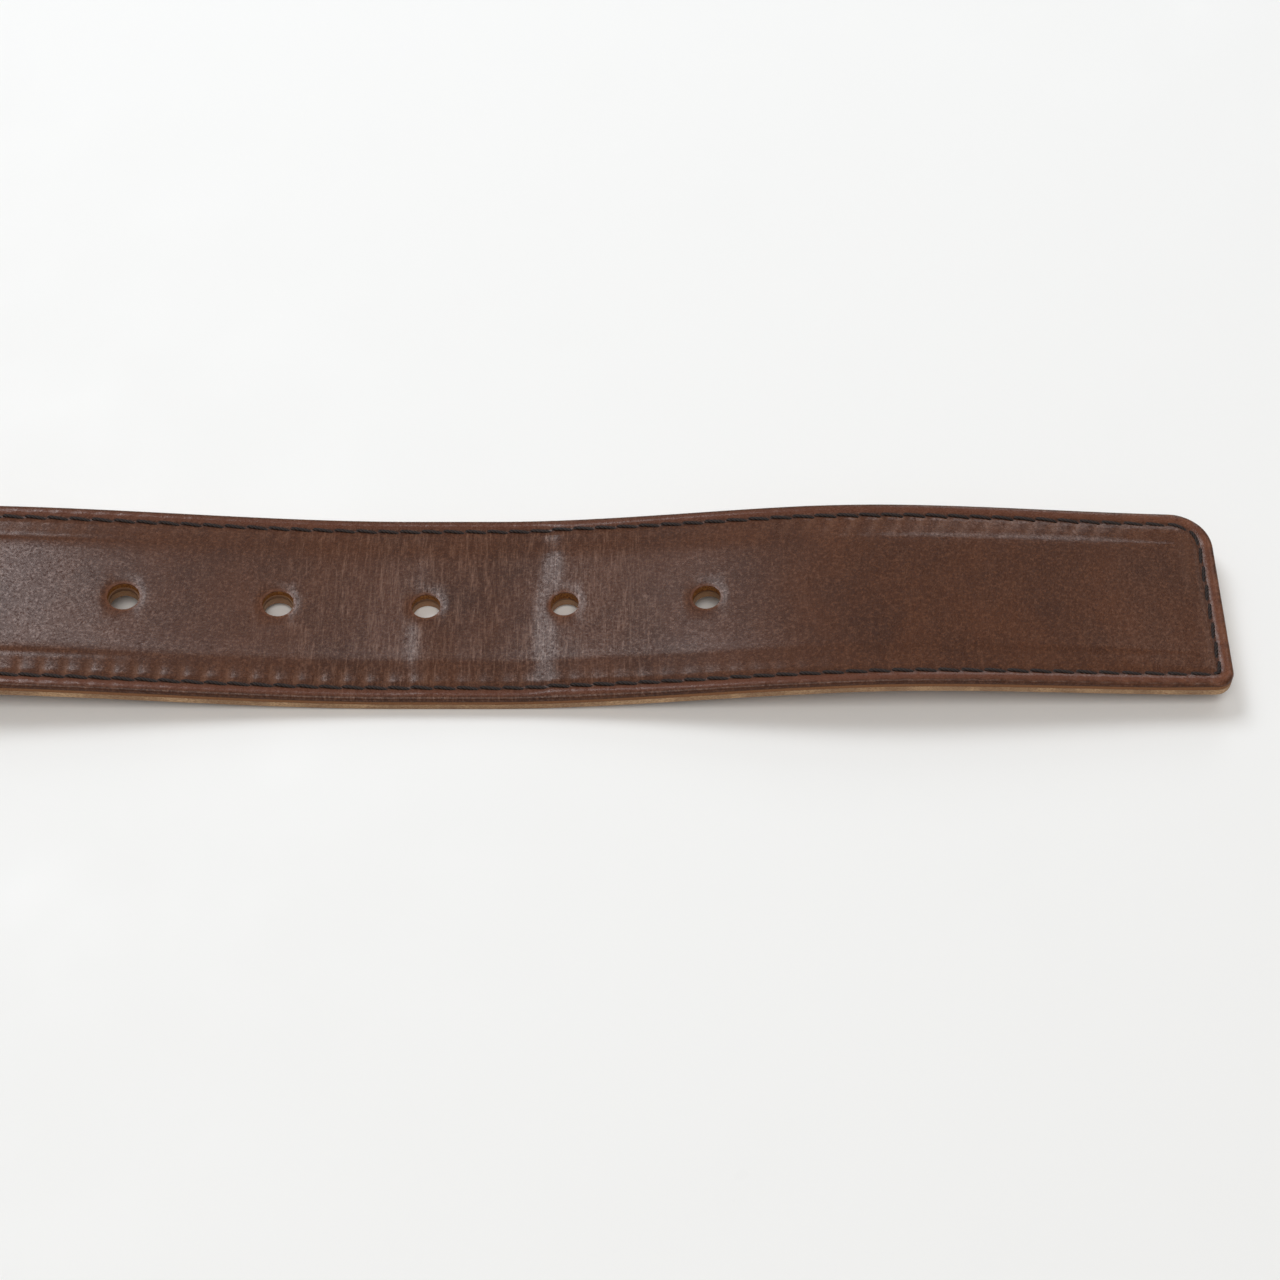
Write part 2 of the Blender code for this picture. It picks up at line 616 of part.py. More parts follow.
def add_frame(collection, end):
    """The buckle frame: two side rails and a front rail, open at the heel, where the bar closes it."""
    inner = HALF_WIDTH + FRAME_SIDE_GAP
    outer = inner + FRAME_RAIL_WIDTH
    front = FRAME_REACH - FRAME_RAIL_WIDTH
    ring = rounded_box(-2 * FRAME_REACH, FRAME_REACH, outer, FRAME_CORNER_RADIUS)
    window = rounded_box(-2 * FRAME_REACH, front, inner, FRAME_CORNER_RADIUS - FRAME_RAIL_WIDTH)
    half_ring = [point for point in ring if point[0] > 0]
    half_window = [point for point in window if point[0] > 0]
    half_ring.sort(key=lambda point: math.atan2(point[1], point[0]))
    half_window.sort(key=lambda point: math.atan2(point[1], point[0]))
    outline = [(-FRAME_HEEL, -outer), *half_ring, (-FRAME_HEEL, outer)]
    outline += [(-FRAME_HEEL, inner), *half_window[::-1], (-FRAME_HEEL, -inner)]
    shape = plate([outline], -FRAME_THICKNESS / 2, FRAME_THICKNESS / 2)
    bmesh.ops.dissolve_limit(shape, angle_limit=FLAT_ANGLE, verts=shape.verts, edges=shape.edges)
    bmesh.ops.bevel(
        shape, geom=shape.edges[:], affect="EDGES", offset=FRAME_BEVEL, segments=2, profile=0.5, material=-1
    )
    slice_at(shape, 0, [front * step / 6 for step in range(1, 6)])
    for vert in shape.verts:
        vert.co.z += frame_rise(vert.co.x)
    seats = [rod_across(BAR_DIAMETER + 2 * GAP, 2 * BAR_SEAT_DEPTH, side * inner) for side in (1, -1)]
    frame = add_piece(collection, "buckle_frame", cut_from(shape, seats), "buckle_nickel", end)
    bar = rod_across(BAR_DIAMETER, 2 * (inner + BAR_SEAT_DEPTH - GAP))
    add_piece(collection, "buckle_bar", bar, "buckle_nickel", frame)
    return frame


def add_prong(collection, frame):
    """The prong: a curl around the bar and a shank that rests on the front rail."""
    inside = BAR_DIAMETER / 2 + GAP
    outside = inside + PRONG_WALL
    rest = FRAME_RISE + FRAME_THICKNESS / 2 + GAP
    front = FRAME_REACH - FRAME_RAIL_WIDTH
    reach = FRAME_REACH + PRONG_OVERHANG
    leave = math.radians(75)
    curl = []
    steps = 16
    for step in range(steps + 1):
        turn = leave + (2 * math.pi - leave - math.radians(-8)) * step / steps
        curl.append((outside * math.cos(turn), outside * math.sin(turn)))
    under = [(front - 4 * MM, rest), (reach - 2 * MM, rest), (reach, rest - 1.2 * MM)]
    over = [(reach + 0.6 * MM, rest + 0.2 * MM), (reach - 2 * MM, rest + PRONG_THICKNESS * 0.8)]
    over += [(front - 4 * MM, rest + PRONG_THICKNESS)]
    shape = plate([curl + under + over, circle(0, 0, 2 * inside)], -PRONG_WIDTH / 2, PRONG_WIDTH / 2)
    bmesh.ops.dissolve_limit(shape, angle_limit=FLAT_ANGLE, verts=shape.verts, edges=shape.edges)
    for vert in shape.verts:
        share = float(smooth((vert.co.x - front / 2) / (reach - front / 2)))
        vert.co.z *= 1 + share * (PRONG_TIP_WIDTH / PRONG_WIDTH - 1)
    # The outline lies in X and Y with its width along Z: Y goes to N.
    bmesh.ops.rotate(shape, verts=shape.verts, cent=(0, 0, 0), matrix=Matrix.Rotation(math.pi / 2, 3, "X"))
    add_piece(collection, "prong", shape, "buckle_nickel", frame)


def main():
    for obj in list(bpy.data.objects):
        bpy.data.objects.remove(obj)
    collection = bpy.data.collections.new("leather_belt")
    bpy.context.scene.collection.children.link(collection)
    end = bpy.data.objects.new("buckle_end", None)
    end.matrix_world = STRAP.end_matrix()
    collection.objects.link(end)
    add_outer(collection)
    add_lining(collection)
    add_filler(collection)
    add_threads(collection)
    add_screws(collection, end)
    add_keeper(collection, end)
    add_prong(collection, add_frame(collection, end))


main()
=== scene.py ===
"""The looks of a lined leather belt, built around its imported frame.

The leathers are cut flat and laid along the route that the frame's solids follow: the tail flat on the
table, a quarter turn up on its edge, and an open loop that ends at the buckle. In the flat, A is the length
from the tip, Y the place across the strap and N the height over the bond line between the two leathers.
Everything is in metres, and the patterns on the leather read the flat places, so that they bend with it.
"""

import logging
import math
from collections.abc import Callable, Iterable, Sequence
from dataclasses import dataclass
from enum import Enum

import bmesh
import bpy
import numpy as np
from mathutils import Matrix, Vector


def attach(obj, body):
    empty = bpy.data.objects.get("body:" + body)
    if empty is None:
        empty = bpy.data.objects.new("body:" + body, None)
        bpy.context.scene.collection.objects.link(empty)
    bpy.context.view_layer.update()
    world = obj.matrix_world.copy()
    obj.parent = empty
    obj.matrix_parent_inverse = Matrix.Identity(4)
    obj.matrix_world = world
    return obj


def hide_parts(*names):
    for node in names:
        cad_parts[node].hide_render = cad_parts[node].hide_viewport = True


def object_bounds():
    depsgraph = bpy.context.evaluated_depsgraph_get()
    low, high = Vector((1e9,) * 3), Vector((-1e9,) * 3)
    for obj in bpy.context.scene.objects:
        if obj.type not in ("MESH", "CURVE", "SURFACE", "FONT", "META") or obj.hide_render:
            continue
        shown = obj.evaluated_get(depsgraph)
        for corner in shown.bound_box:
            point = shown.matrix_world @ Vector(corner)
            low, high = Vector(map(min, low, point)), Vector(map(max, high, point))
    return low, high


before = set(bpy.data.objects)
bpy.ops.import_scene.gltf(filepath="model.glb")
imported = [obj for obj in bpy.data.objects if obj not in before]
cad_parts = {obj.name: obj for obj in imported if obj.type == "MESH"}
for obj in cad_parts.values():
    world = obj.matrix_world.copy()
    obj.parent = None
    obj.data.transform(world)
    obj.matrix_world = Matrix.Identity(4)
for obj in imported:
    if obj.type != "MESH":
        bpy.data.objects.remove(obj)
cad_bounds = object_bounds()

log = logging.getLogger("belt")

MM = 0.001
NEAR = 0.01 * MM
ON_CUT = 1e-6
CUT_MERGE = 1e-7
TIP_LINES = (0, 0.12, 0.3, 0.6, 1.0, 1.5, 2.05, 2.4, 2.75)
AFTER_TIP = 3.3 * MM
END_LINES = (1, 0.5, 0.25, 0.1, 0)

Points = np.ndarray


def smooth(share: Points) -> Points:
    """Eases a share from 0 to 1 with level ends.

    Args:
        share: Values that are held between 0 and 1.

    Returns:
        The eased values.
    """
    share = np.clip(share, 0.0, 1.0)
    return share * share * (3 - 2 * share)


def eased(at: Points, points: Sequence[tuple[float, float]]) -> Points:
    """Reads a run of (place, value) points, level at each point and eased between them.

    Args:
        at: The places to read.
        points: The run's points, in order of place.

    Returns:
        The value at each place.
    """
    places, values = np.array(points, float).T
    at = np.clip(at, places[0], places[-1])
    left = np.clip(np.searchsorted(places, at, side="right") - 1, 0, len(places) - 2)
    share = smooth((at - places[left]) / (places[left + 1] - places[left]))
    return values[left] + share * (values[left + 1] - values[left])


def hill(at: Points, middle: float, width: float) -> Points:
    """A soft bump that is 1 at the middle and almost 0 two widths away."""
    return np.exp(-(((at - middle) / width) ** 2))


def unit(vectors: Points) -> Points:
    """The vectors, each scaled to a length of 1."""
    return vectors / np.linalg.norm(vectors, axis=-1, keepdims=True)


@dataclass(frozen=True)
class StrapSizes:
    """The sizes that the strap is cut and sewn to."""

    width: float = 38 * MM
    outer_thickness: float = 1.4 * MM
    lining_thickness: float = 1.4 * MM
    gap: float = 0.3 * MM
    filler_thickness: float = 0.6 * MM
    filler_width: float = 23.4 * MM
    filler_tip_margin: float = 12 * MM
    filler_end_margin: float = 2 * MM
    crown_seen: float = 0.5 * MM
    crown_start: float = 2.5 * MM
    crown_end: float = 9 * MM
    crown_foot: float = 3.8 * MM
    crown_slope: float = 5.5 * MM
    tip_taper: float = 0.9 * MM
    tip_taper_length: float = 70 * MM
    tip_radius_far: float = 7 * MM
    tip_radius_near: float = 3 * MM
    fitted_length: float = 950 * MM
    tip_to_first_hole: float = 87.8 * MM
    hole_pitches: tuple[float, ...] = (24.4 * MM, 23.9 * MM, 25.4 * MM, 26.2 * MM)
    hole_diameter: float = 5 * MM
    stitch_inset: float = 2.4 * MM
    stitch_end_margin: float = 15 * MM
    stitch_pitch: float = 3.83 * MM
    bar_diameter: float = 3.5 * MM
    lining_end_margin: float = 13 * MM
    flap_length: float = 76 * MM
    slot_length: float = 30 * MM
    slot_width: float = 7 * MM
    straight_end: float = 88 * MM
    screw_from_bar: float = 17 * MM
    screw_head_diameter: float = 9.5 * MM
    post_diameter: float = 5 * MM
    keeper_width: float = 12 * MM
    keeper_thickness: float = 1.4 * MM
    keeper_play: float = 4 * MM
    keeper_room: float = 5.25 * MM

    @property
    def half_width(self) -> float:
        """Half of the strap's width."""
        return self.width / 2

    @property
    def crown(self) -> float:
        """How far the filler lifts the outer leather."""
        return self.filler_thickness + self.gap

    @property
    def face(self) -> float:
        """N of the face, where there is no filler."""
        return self.gap / 2 + self.outer_thickness

    @property
    def back(self) -> float:
        """N of the lining's back."""
        return -self.gap / 2 - self.lining_thickness

    @property
    def bar_a(self) -> float:
        """Length from the tip to the buckle's bar."""
        return self.tip_to_first_hole + sum(self.hole_pitches[:2]) + self.fitted_length

    @property
    def fold_inside(self) -> float:
        """Radius of the fold's inner side around the bar."""
        return self.bar_diameter / 2 + self.gap

    @property
    def fold_middle(self) -> float:
        """Radius of the middle of the leather in the fold."""
        return self.fold_inside + self.outer_thickness / 2

    @property
    def flap_a(self) -> float:
        """Length at which the fold has turned back and the flap starts."""
        return self.bar_a + math.pi * self.fold_middle

    @property
    def bar_n(self) -> float:
        """N of the bar's middle."""
        return self.gap / 2 - self.fold_inside

    @property
    def flap_top(self) -> float:
        """N of the flap's inner side, where it is drawn up to the lining."""
        return self.back - self.gap

    @property
    def keeper_from_bar(self) -> float:
        """Length from the bar to the keeper's middle."""
        room = self.keeper_room + self.keeper_play + self.keeper_width / 2
        return self.screw_from_bar + self.screw_head_diameter / 2 + room

    @property
    def second_screw_from_bar(self) -> float:
        """Length from the bar to the rear screw."""
        return 2 * self.keeper_from_bar - self.screw_from_bar

    @property
    def padded_end(self) -> float:
        """Length at which the filler ends."""
        return self.bar_a - self.straight_end - self.filler_end_margin

    @property
    def hole_places(self) -> list[float]:
        """Length from the tip to each hole.

        Returns:
            The lengths, in order.
        """
        places = [self.tip_to_first_hole]
        for pitch in self.hole_pitches:
            places.append(places[-1] + pitch)
        return places

    def half_width_at(self, a: Points) -> Points:
        """Half of the strap's width, which narrows a little towards the tip."""
        return self.half_width - self.tip_taper * np.clip(1 - a / self.tip_taper_length, 0, 1)

    def tip_radius(self, y: Points) -> Points:
        """Radius of the tip's corner on the side that y is on."""
        return np.where(y > 0, self.tip_radius_far, self.tip_radius_near)

    def inset(self, a: Points, y: Points) -> Points:
        """How far flat places lie inside the strap's outline.

        Args:
            a: Lengths from the tip.
            y: Places across the strap.

        Returns:
            The distance from each place to the outline.
        """
        radius = self.tip_radius(y)
        side = self.half_width_at(a) - np.abs(y)
        rounded = radius - np.hypot(radius - a, radius - side)
        return np.where((a < radius) & (side < radius), rounded, np.minimum(side, a))


class LaidStrap:
    """Where the strap lies: its bond line's middle, and its directions along, across and out of its face."""

    STEP = 0.5 * MM
    TWIST = (226 * MM, 410 * MM)
    LOOP_TURN = math.radians(270)
    RAIL_BELOW_STRAP = 7 * MM

    def __init__(self, sizes: StrapSizes) -> None:
        """Works out the route.

        Args:
            sizes: What the strap is cut to.
        """
        self.sizes = sizes
        bar, straight = sizes.bar_a, sizes.bar_a - sizes.straight_end
        table_gaps = (
            (0, 3.0 * MM),
            (55 * MM, 5.1 * MM),
            (125 * MM, 0),
            (139 * MM, 0),
            (222 * MM, 4.7 * MM),
            (330 * MM, 0),
            (bar - 310 * MM, 0),
            (straight, self.RAIL_BELOW_STRAP),
        )
        loop_bends = (
            (365 * MM, 0),
            (440 * MM, 1),
            (bar - 286.1 * MM, 1),
            (bar - 216.1 * MM, 1.5),
            (straight - 40 * MM, 1.5),
            (straight, 0),
        )
        self.lengths = np.arange(0, bar + self.STEP, self.STEP)
        start, end = self.TWIST
        twist = math.pi / 2 * smooth((self.lengths - start) / (end - start))
        height = eased(self.lengths, table_gaps) - sizes.back * np.cos(twist)
        height = height + sizes.half_width * np.sin(twist)
        bend = np.interp(self.lengths, *np.array(loop_bends, float).T)
        heading = math.pi - self.LOOP_TURN * np.cumsum(bend) / np.sum(bend)
        rise = np.gradient(height, self.STEP)
        level = np.sqrt(1 - rise**2)
        steps = np.stack([np.cos(heading) * level, np.sin(heading) * level, rise], 1) * self.STEP
        middle = np.cumsum(steps, 0)
        middle[:, 2] = height
        self.along = unit(steps)
        outwards = np.stack([-np.sin(heading), np.cos(heading), 0 * heading], 1)
        face = np.cos(twist)[:, None] * np.array([0, 0, 1.0]) + np.sin(twist)[:, None] * outwards
        self.face = unit(face - self.along * np.sum(face * self.along, 1, keepdims=True))
        self.across = -np.cross(self.face, self.along)
        sides = [
            middle + y * self.across + n * self.face
            for y in (-sizes.half_width, 0, sizes.half_width)
            for n in (sizes.back, sizes.face + sizes.crown)
        ]
        low, high = np.min(sides, (0, 1)), np.max(sides, (0, 1))
        self.middle = middle - np.array([*((low + high) / 2)[:2], 0])

    def at(self, a: Points, y: Points, n: Points) -> Points:
        """The laid places of flat places on the straight run up to the bar.

        Args:
            a: Lengths from the tip.
            y: Places across the strap.
            n: Heights over the bond line.

        Returns:
            One row of three coordinates for each place.
        """
        middle, across, face = (
            np.stack([np.interp(a, self.lengths, values[:, axis]) for axis in range(3)], 1)
            for values in (self.middle, self.across, self.face)
        )
        return middle + y[:, None] * across + n[:, None] * face

    def crown_at(self, a: Points, y: Points) -> Points:
        """How far the filler lifts the outer leather at flat places.

        Args:
            a: Lengths from the tip.
            y: Places across the strap.

        Returns:
            The lift at each flat place.
        """
        sizes = self.sizes
        start, end = sizes.crown_start, sizes.padded_end + sizes.crown_end
        ends = smooth((a - start) / (2 * sizes.filler_tip_margin - start))
        ends = ends * smooth((end - a) / (end - sizes.padded_end - sizes.gap))
        foot = sizes.filler_width / 2 + sizes.crown_foot
        return sizes.crown_seen * ends * smooth((foot - np.abs(y)) / sizes.crown_slope)

    def flap_lift(self, from_bar: Points) -> Points:
        """How far the flap is drawn up to the lining: fully under the screws, and clear of the keeper.

        Args:
            from_bar: Lengths from the bar.

        Returns:
            The lift at each length.
        """
        sizes = self.sizes
        drawn = sizes.flap_top - (sizes.bar_n - sizes.fold_inside)
        keeper_room = drawn - sizes.keeper_thickness - sizes.gap
        head = sizes.screw_head_diameter / 2 + sizes.gap
        plateau = sizes.keeper_width / 2 + sizes.keeper_play + 0.5 * MM
        points = (
            (0, 0),
            (sizes.screw_from_bar - head, drawn),
            (sizes.screw_from_bar + head, drawn),
            (sizes.keeper_from_bar - plateau, keeper_room),
            (sizes.keeper_from_bar + plateau, keeper_room),
            (sizes.second_screw_from_bar - head, drawn),
            (sizes.flap_length + sizes.gap, drawn),
        )
        return eased(from_bar, points)

    def lay_outer(self, a: Points, y: Points, n: Points) -> Points:
        """Lays the outer leather: over the filler, around the bar, and back under the lining as the flap.

        Args:
            a: Lengths from the tip.
            y: Places across the strap.
            n: Heights over the bond line, as if the leather lay straight.

        Returns:
            One row of three coordinates for each place.
        """
        sizes = self.sizes
        laid = self.at(a, y, n + self.crown_at(a, y))
        depth = n - sizes.gap / 2
        bar = np.full_like(a, sizes.bar_a)
        turn = np.clip((a - sizes.bar_a) / sizes.fold_middle, 0, math.pi)
        radius = sizes.fold_inside + depth
        folded = self.at(bar, y, sizes.bar_n + radius * np.cos(turn))
        folded = folded + (radius * np.sin(turn))[:, None] * self.along[-1]
        from_bar = np.maximum(a - sizes.flap_a, 0)
        flap_n = sizes.bar_n - sizes.fold_inside - depth + self.flap_lift(from_bar)
        flap = self.at(sizes.bar_a - from_bar, y, flap_n)
        laid = np.where((a > sizes.bar_a)[:, None], folded, laid)
        return np.where((a > sizes.flap_a)[:, None], flap, laid)

    def end_matrix(self) -> Matrix:
        """The buckle end's own axes: along the strap from the tip, then down, then out of its face.

        Returns:
            The matrix from those axes to the belt's.
        """
        sizes = self.sizes
        origin = self.at(np.array([sizes.bar_a]), np.zeros(1), np.array([sizes.bar_n]))[0]
        matrix = Matrix.Identity(4)
        for index, column in enumerate((self.along[-1], -self.across[-1], self.face[-1], origin)):
            for row in range(3):
                matrix[row][index] = float(column[row])
        return matrix


@dataclass(frozen=True)
class Opening:
    """A hole or a slot with round ends in a leather, on the strap's centreline."""

    middle: float
    radius: float
    half_run: float = 0.0

    def beyond_run(self, a: Points) -> Points:
        """How far places lie past the slot's straight run, with the side as the sign."""
        off = a - self.middle
        return np.sign(off) * np.maximum(np.abs(off) - self.half_run, 0)

    def edge_distance(self, a: Points, y: Points) -> Points:
        """How far flat places lie outside the opening's edge."""
        return np.hypot(self.beyond_run(a), y) - self.radius


@dataclass
class FlatCut:
    """A leather in the flat: a sheet of small quads whose lines run around its openings.

    The sheet's height is a layer number, 0 on the hidden side and 1 on the side that shows.
    """

    sizes: StrapSizes
    columns: Sequence[float]
    openings: Sequence[Opening]
    lattice: float = 2.5 * MM
    lattice_cells: int = 4
    wall_cuts: int = 3
    tip_reach: float = 12 * MM
    middle_lines: tuple[float, ...] = (3.6, 5.2, 7.2, 9.4, 11.1, 11.8, 12.15, 12.6, 13.4, 14.4)
    side_lines: tuple[float, ...] = (3.8, 3.2, 2.75, 2.4, 2.05, 1.5, 0.95, 0.5, 0.25, 0.1, 0)

    def rows(self) -> list[float]:
        """Places across the strap at which the sheet has a line, close together where the relief is fine.

        Returns:
            The places, from side to side.
        """
        cell = self.lattice / self.lattice_cells
        half = [cell * step for step in range(self.lattice_cells + 1)]
        half += [place * MM for place in self.middle_lines]
        half += [self.sizes.half_width - inset * MM for inset in self.side_lines]
        return [-place for place in half[:0:-1]] + half

    def all_columns(self) -> list[float]:
        """The given columns, with an even lattice in their stead around each opening.

        Returns:
            The lengths at which the sheet has a line.
        """
        kept = list(self.columns)
        cell = self.lattice / self.lattice_cells
        for opening in self.openings:
            reach = opening.half_run + self.lattice
            steps = range(-self.lattice_cells, self.lattice_cells + 1)
            own = {opening.middle + cell * step for step in steps if not opening.half_run}
            if opening.half_run:
                run_steps = max(2, round(2 * opening.half_run / (1.2 * MM)))
                run = (opening.half_run * (2 * step / run_steps - 1) for step in range(run_steps + 1))
                ends = (opening.half_run + cell * step for step in range(1, self.lattice_cells + 1))
                own = {opening.middle + place for place in run}
                own |= {opening.middle + side * place for place in ends for side in (-1, 1)}
            kept = [place for place in kept if abs(place - opening.middle) > reach + cell / 2]
            kept += sorted(own)
        return sorted(kept)

    def around_openings(self, a: Points, y: Points) -> tuple[Points, Points]:
        """Draws the lattice lines round each opening, from a square to its round edge.

        Args:
            a: Lengths from the tip.
            y: Places across the strap.

        Returns:
            The moved lengths and places.
        """
        for opening in self.openings:
            beyond = opening.beyond_run(a)
            square = np.maximum(np.maximum(np.abs(beyond), np.abs(y)), NEAR)
            far = np.maximum(np.hypot(beyond, y), NEAR)
            edge = opening.radius / self.lattice * square / far
            reach = self.lattice + 3 * MM
            share = smooth((square - self.lattice) / (reach - self.lattice))
            factor = np.where(square < reach, edge + (1 - edge) * share, 1)
            near_it = np.abs(a - opening.middle) < opening.half_run + reach
            a = np.where(near_it, a - beyond + beyond * factor, a)
            y = np.where(near_it, y * factor, y)
        return a, y

    def at_outline(self, a: Points, y: Points) -> tuple[Points, Points]:
        """Moves the sheet's edges to the strap's outline, with its narrowed tip and round corners.

        Args:
            a: Lengths from the tip.
            y: Places across the strap.

        Returns:
            The moved lengths and places.
        """
        half = self.sizes.half_width
        taper = half - self.sizes.half_width_at(a)
        y = y - np.sign(y) * taper * smooth((np.abs(y) - 8 * MM) / (6 * MM))
        radius = self.sizes.tip_radius(y)
        tip_half = half - self.sizes.tip_taper
        past = np.clip(np.abs(y) - (tip_half - radius), 0, radius)
        setback = radius - np.sqrt(np.maximum(radius**2 - past**2, 0))
        return a + setback * (1 - smooth(a / self.tip_reach)), y

    def sheet(self) -> bmesh.types.BMesh:
        """Cuts the sheet.

        Returns:
            The closed leather, in flat A and Y, with its layer number as the height.
        """
        columns, rows = self.all_columns(), self.rows()
        shape = bmesh.new()
        bmesh.ops.create_grid(shape, x_segments=len(columns) - 1, y_segments=len(rows) - 1, size=0.5)
        places = np.array([vert.co[:2] for vert in shape.verts]) + 0.5
        a = np.array(columns)[np.rint(places[:, 0] * (len(columns) - 1)).astype(int)]
        y = np.array(rows)[np.rint(places[:, 1] * (len(rows) - 1)).astype(int)]
        for vert, across, up in zip(shape.verts, a, y):
            vert.co = (across, up, 0)
        for opening in self.openings:
            reach = opening.half_run + self.lattice
            middle_face = [
                face
                for face in shape.faces
                if abs((at := face.calc_center_median()).x - opening.middle) < reach
                and abs(at.y) < self.lattice
            ]
            bmesh.ops.delete(shape, geom=middle_face, context="FACES")
        places = np.array([vert.co[:2] for vert in shape.verts])
        a, y = self.around_openings(places[:, 0], places[:, 1])
        a, y = self.at_outline(a, y)
        for vert, across, up in zip(shape.verts, a, y):
            vert.co = (across, up, 0)
        made = bmesh.ops.extrude_face_region(shape, geom=shape.faces[:])["geom"]
        upper = [item for item in made if isinstance(item, bmesh.types.BMVert)]
        bmesh.ops.translate(shape, verts=upper, vec=(0, 0, 1))
        walls = [edge for edge in shape.edges if abs(edge.verts[0].co.z - edge.verts[1].co.z) > 0.5]
        bmesh.ops.subdivide_edges(shape, edges=walls, cuts=self.wall_cuts, use_grid_fill=True)
        bmesh.ops.recalc_face_normals(shape, faces=shape.faces)
        return shape


def evenly(start: float, end: float, step: float) -> list[float]:
    """Places from start up to end, about a step apart and without the end.

    Args:
        start: The first place.
        end: Where the places stop.
        step: The distance to come near to.

    Returns:
        The places.
    """
    count = max(1, round((end - start) / step))
    return [start + (end - start) * index / count for index in range(count)]


def write_points(mesh: bpy.types.Mesh, points: Points) -> None:
    """Gives the mesh's vertices new places."""
    mesh.vertices.foreach_set("co", np.asarray(points, np.float32).ravel())
    mesh.update()


def read_points(mesh: bpy.types.Mesh) -> Points:
    """The places of the mesh's vertices, one row each.

    Args:
        mesh: The mesh to read.

    Returns:
        Rows of three coordinates.
    """
    found = np.empty(len(mesh.vertices) * 3, np.float32)
    mesh.vertices.foreach_get("co", found)
    return found.reshape(-1, 3).astype(float)


def add_values(mesh: bpy.types.Mesh, name: str, values: Points) -> None:
    """Stores a number or a vector for each vertex, for a material to read.

    Args:
        mesh: The mesh to store it on.
        name: What the material calls it.
        values: One number, or one row of three, for each vertex.
    """
    kind, key = ("FLOAT", "value") if values.ndim == 1 else ("FLOAT_VECTOR", "vector")
    made = mesh.attributes.new(name, kind, "POINT")
    made.data.foreach_set(key, np.asarray(values, np.float32).ravel())


def quarter_turn(shape: bmesh.types.BMesh, axis: str) -> None:
    """Turns a shape by a quarter about X or Y."""
    turn = Matrix.Rotation(math.pi / 2, 3, axis)
    bmesh.ops.rotate(shape, verts=shape.verts, cent=(0, 0, 0), matrix=turn)


def finished(
    shape: bmesh.types.BMesh, name: str, finish: bpy.types.Material, crease: float = 40.0
) -> bpy.types.Object:
    """Makes an object of a shape, smooth but for its creases.

    Args:
        shape: The shape, which is freed.
        name: The piece's name.
        finish: Its material.
        crease: Degrees between faces from which an edge stays sharp.

    Returns:
        The object, linked to the scene.
    """
    mesh = bpy.data.meshes.new(name)
    shape.to_mesh(mesh)
    shape.free()
    mesh.shade_smooth()
    mesh.set_sharp_from_angle(angle=math.radians(crease))
    mesh.materials.append(finish)
    made = bpy.data.objects.new(name, mesh)
    bpy.context.scene.collection.objects.link(made)
    return made


def hand_over(piece: bpy.types.Object, body: str, nodes: Iterable[str] = ()) -> None:
    """Puts a piece in the frame: on its body, and in the stead of its solids.

    Args:
        piece: The finished piece.
        body: The frame's body that it moves with.
        nodes: The frame's solids that it stands for.
    """
    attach(piece, body)
    if nodes:
        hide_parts(*nodes)
    log.info("%s: %d faces on %s", piece.name, len(piece.data.polygons), body)


